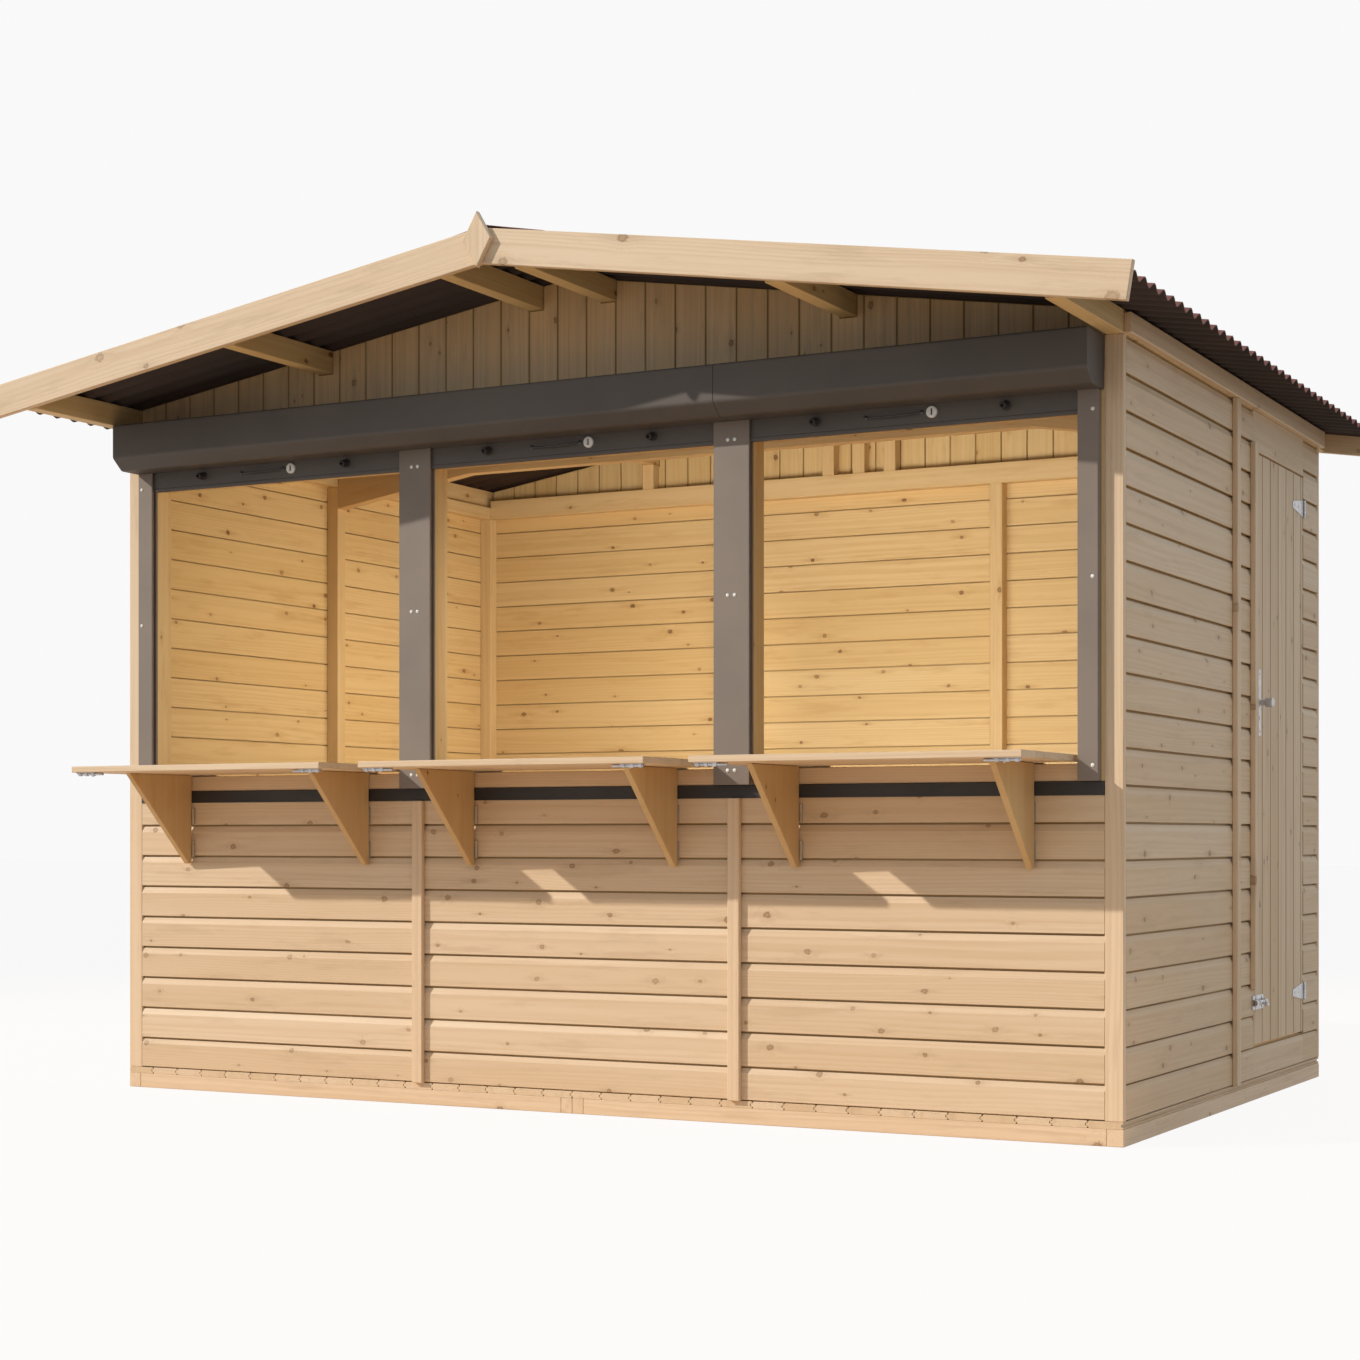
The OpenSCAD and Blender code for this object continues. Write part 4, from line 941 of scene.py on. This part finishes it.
leaf = newBatch()
y = door["near"]
while y < door["far"] - 0.001:
    y1 = min(y + door["board"], door["far"])
    outline = easedRect(xIn, halfW, y + hair, y1 - hair, door["vee"])
    addPrism(leaf, outline, 2, door["low"], door["high"], 2, finishOf=doorFinish)
    y = y1
for z0, z1 in door["ledges"]:
    addPlank(leaf, (xIn - door["ledge"], door["near"] + door["edge"], z0), (xIn, door["far"] - door["edge"], z1), 1,
             ease=door["ledgeEase"], finishOf=lambda c: 1)
finishPiece("doorLeaf", leaf, wallFinishes, "door_leaf", "door")

# door furniture: straps, handle, bolt; on the wall the hinge leaves, pins and keeper
hinge = {"z": ((0.264, 0.318), (1.788, 1.842)), "root": door["far"] - 0.0013, "tip": door["far"] - 0.135,
         "tipHalf": 0.011, "nose": 0.006, "noseHalf": 0.004, "thick": 0.0025, "ease": 0.0005, "screw": 0.004,
         "screwAt": ((0.16, 0.016), (0.16, -0.016), (0.5, 0.0), (0.85, 0.0)), "pinX": halfW + 0.005, "pinY": 0.813,
         "pin": 0.0045, "pinEase": 0.0006, "leaf": 0.030, "leafCorner": 0.003, "leafEase": 0.0004,
         "leafScrew": (0.018, 0.018)}
metal, walled = newBatch(), newBatch()
root, tip, out = hinge["root"], hinge["tip"], halfW + hinge["thick"]
for z0, z1 in hinge["z"]:
    mid, wide, slight = (z0 + z1) / 2, hinge["tipHalf"], hinge["noseHalf"]
    outline = [(root, z0), (root, z1), (tip + hinge["nose"], mid + wide), (tip, mid + slight), (tip, mid - slight),
               (tip + hinge["nose"], mid - wide)]
    addPrism(metal, outline, 0, halfW, out, 0, hinge["ease"])
    for share, lift in hinge["screwAt"]:
        addScrew(metal, (out, root + (tip - root) * share, mid + lift), (1, 0, 0), hinge["screw"])
    addBarrel(walled, hinge["pinX"], hinge["pinY"], z0, z1, hinge["pin"], hinge["pinEase"], 18)
    leafOutline = roundedRect(hinge["pinY"], hinge["pinY"] + hinge["leaf"], z0, z1, hinge["leafCorner"])
    addPrism(walled, leafOutline, 0, halfW, out, 0, hinge["leafEase"])
    aside, lift = hinge["leafScrew"]
    for z in (mid - lift, mid + lift):
        addScrew(walled, (out, hinge["pinY"] + aside, z), (1, 0, 0), hinge["screw"])
handle = {"y": 0.275, "z": 1.176, "half": 0.015, "halfTall": 0.100, "corner": 0.008, "thick": 0.003, "ease": 0.0008,
          "knob": [(0, 0.013), (0.002, 0.013), (0.004, 0.0088), (0.017, 0.008), (0.018, 0.012), (0.020, 0.014),
                   (0.039, 0.014), (0.042, 0.0115), (0.043, 0.008), (0.043, 0)],
          "screwAt": 0.085, "screw": 0.0035, "knobSink": 0.001, "keyAt": 0.045, "keySink": 0.0001,
          "key": [(0, 0.006), (0.0012, 0.006), (0.0016, 0.0052), (0.0016, 0)]}
y, z, w, h, out = handle["y"], handle["z"], handle["half"], handle["halfTall"], halfW + handle["thick"]
addPrism(metal, roundedRect(y - w, y + w, z - h, z + h, handle["corner"]), 0, halfW, out, 0, handle["ease"])
addTurned(metal, (out - handle["knobSink"], y, z), (1, 0, 0), handle["knob"], 28)
for lift in (-handle["screwAt"], handle["screwAt"]):
    addScrew(metal, (out, y, z + lift), (1, 0, 0), handle["screw"])
addTurned(metal, (out - handle["keySink"], y, z - handle["keyAt"]), (1, 0, 0), handle["key"], 18)
bolt = {"z": 0.288, "start": 0.006, "long": 0.090, "halfTall": 0.021, "corner": 0.005, "thick": 0.003, "ease": 0.0006,
        "out": 0.009, "rod": 0.00644, "strap": (0.017, 0.0032, 0.0048, 0.009, 0.0088, 12), "strapAt": (0.012, -0.016),
        "strapHalf": 0.007, "strapEase": 0.0004, "knobAt": 0.042, "screwAt": 0.006, "screwLift": 0.014,
        "screw": 0.0032, "rodAt": (0.02, 0.05), "rodPast": 0.010, "knobWay": (1, 0, -0.35),
        "knob": [(0, 0.004), (0.012, 0.004), (0.014, 0.006), (0.020, 0.0068), (0.024, 0.005), (0.0255, 0)],
        "keeper": (0.021, 0.0, 0.0045, 0.009, 0.0098, 10), "keeperHole": 0.0078, "keeperWide": 0.022,
        "keeperEase": 0.0003}
z, h, out, rodX = bolt["z"], bolt["halfTall"], halfW + bolt["thick"], halfW + bolt["out"]
b0 = door["near"] + bolt["start"]
b1 = b0 + bolt["long"]
addPrism(metal, roundedRect(b0, b1, z - h, z + h, bolt["corner"]), 0, halfW, out, 0, bolt["ease"])
path = [door["near"], *(b0 + f for f in bolt["rodAt"]), b1 + bolt["rodPast"]]
addTube(metal, [(rodX, b, z) for b in path], bolt["rod"], 16)
strap = [(halfW + o, z + a) for a, o in strapOutline(*bolt["strap"])]
for q in (b0 + bolt["strapAt"][0], b1 + bolt["strapAt"][1]):
    addPrism(metal, strap, 1, q - bolt["strapHalf"], q + bolt["strapHalf"], 1, bolt["strapEase"])
addTurned(metal, (rodX, b0 + bolt["knobAt"], z), bolt["knobWay"], bolt["knob"], 18)
for q in (b0 + bolt["screwAt"], b1 - bolt["screwAt"]):
    for lift in (-bolt["screwLift"], bolt["screwLift"]):
        addScrew(metal, (out, q, z + lift), (1, 0, 0), bolt["screw"])
hole, steps = bolt["keeperHole"], bolt["keeper"][-1]
bends = [math.pi * k / steps for k in range(steps + 1)]
keeper = [(halfW + o, z - a) for a, o in strapOutline(*bolt["keeper"])] + [(halfW, z + hole)]
keeper += [(rodX + hole * math.sin(q), z + hole * math.cos(q)) for q in bends] + [(halfW, z - hole)]
addPrism(walled, keeper, 1, doorway["near"] - bolt["keeperWide"], doorway["near"], 1, bolt["keeperEase"])
finishPiece("doorFurniture", metal, [zinc], "door_furniture", "door")
finishPiece("doorFixings", walled, [zinc], "door_fixings")
for slotOf in cadNodes["counter_hinges"].material_slots:
    slotOf.material = zinc
print("door hung")

# stage: pale floor, white backdrop, sun, sky and soft fills inside the room
studio = {"sun": 2.95, "sunAngle": math.radians(0.8), "sunWay": (1.29, 1.0, -0.945), "sunColour": (1.0, 0.93, 0.82),
          "sky": 0.63, "skyColour": (0.78, 0.90, 1.0, 1), "backdrop": (0.949, 0.949, 0.948, 1), "floorHalf": 60,
          "floorZ": -0.0005, "floorNear": (0.80, 0.58, 0.37, 1), "floorFar": (0.12, 0.12, 0.12, 1),
          "floorReach": (3.0, 8.0), "floorWhite": 0.92}
fills = {
    "roomFill": {"spot": (0.35, -0.78, 1.16), "way": (0, 1, 0), "size": (2.2, 0.62), "power": 15.5, "spread": 115,
                 "colour": (1.0, 0.96, 0.90)},
    "sideFill": {"spot": (-0.1, 0.0, 1.28), "way": (-1, 0, 0), "size": (1.7, 0.75), "power": 8.2, "spread": 115,
                 "colour": (1.0, 0.90, 0.76)},
    "loftFill": {"spot": (0.0, 0.14, 1.84), "way": (0, 0.85, 0.53), "size": (2.4, 0.2), "power": 2.2, "spread": 120,
                 "colour": (1.0, 0.92, 0.80)},
}


def seenRays(tree):
    path = addNode(tree, "LightPath").outputs
    straight = maths(tree, "ADD", path["Is Camera Ray"], path["Is Glossy Ray"])
    return maths(tree, "ADD", straight, path["Is Transmission Ray"], clamp=True)


def mixInto(tree, kind, amount, one, two):
    both = addNode(tree, "MixShader", {0: amount, 1: one, 2: two}).outputs[0]
    tree.links.new(both, next(n for n in tree.nodes if n.type == kind).inputs["Surface"])


ground = bpy.data.meshes.new("stageFloor")
h, z = studio["floorHalf"], studio["floorZ"]
ground.from_pydata([(-h, -h, z), (h, -h, z), (h, h, z), (-h, h, z)], [], [(0, 1, 2, 3)])
groundPiece = addToScene("stageFloor", ground)
paper, tree, shader = startFinish("stagePaper", 0.9)
far = vectors(tree, "LENGTH", addNode(tree, "TexCoord").outputs["Object"])["Value"]
shade = blendColour(tree, remap(tree, far, *studio["floorReach"]), studio["floorNear"], studio["floorFar"])
tree.links.new(shade, shader.inputs["Base Color"])
glow = addNode(tree, "Emission", {"Color": (1, 1, 1, 1), "Strength": 1.0}).outputs[0]
mixInto(tree, "OUTPUT_MATERIAL", times(tree, seenRays(tree), studio["floorWhite"]), shader.outputs[0], glow)
ground.materials.append(paper)

world = bpy.data.worlds.new("studioSky")
bpy.context.scene.world = world
world.use_nodes = True
tree = world.node_tree
sky = next(n for n in tree.nodes if n.type == "BACKGROUND")
sky.inputs[0].default_value, sky.inputs[1].default_value = studio["skyColour"], studio["sky"]
white = addNode(tree, "Background", {0: studio["backdrop"], 1: 1.0}).outputs[0]
mixInto(tree, "OUTPUT_WORLD", seenRays(tree), sky.outputs[0], white)

lamp = bpy.data.lights.new("softSun", "SUN")
lamp.energy, lamp.angle, lamp.color = studio["sun"], studio["sunAngle"], studio["sunColour"]
addToScene("softSun", lamp).rotation_euler = Vector(studio["sunWay"]).to_track_quat("-Z", "Y").to_euler()
for name, fill in fills.items():
    lamp = bpy.data.lights.new(name, "AREA")
    lamp.shape, lamp.size, lamp.size_y = "RECTANGLE", *fill["size"]
    lamp.energy, lamp.color, lamp.spread = fill["power"], fill["colour"], math.radians(fill["spread"])
    lampPiece = addToScene(name, lamp)
    lampPiece.location = fill["spot"]
    lampPiece.rotation_euler = Vector(fill["way"]).to_track_quat("-Z", "Y").to_euler()
    lampPiece.visible_camera = lampPiece.visible_glossy = False

camera = {"spot": (3.477, -6.913, 0.7756), "turn": 27.991, "lens": 64.39, "sensor": 36.0, "shift": (-0.0010, 0.1158)}
eye = bpy.data.cameras.new("photoCamera")
eye.lens, eye.sensor_width = camera["lens"], camera["sensor"]
eye.shift_x, eye.shift_y = camera["shift"]
eyePiece = addToScene("photoCamera", eye)
eyePiece.location = camera["spot"]
eyePiece.rotation_euler = (math.radians(90), 0, math.radians(camera["turn"]))
bpy.context.scene.camera = eyePiece
bpy.context.scene.view_settings.view_transform = "Standard"
print("stage set")
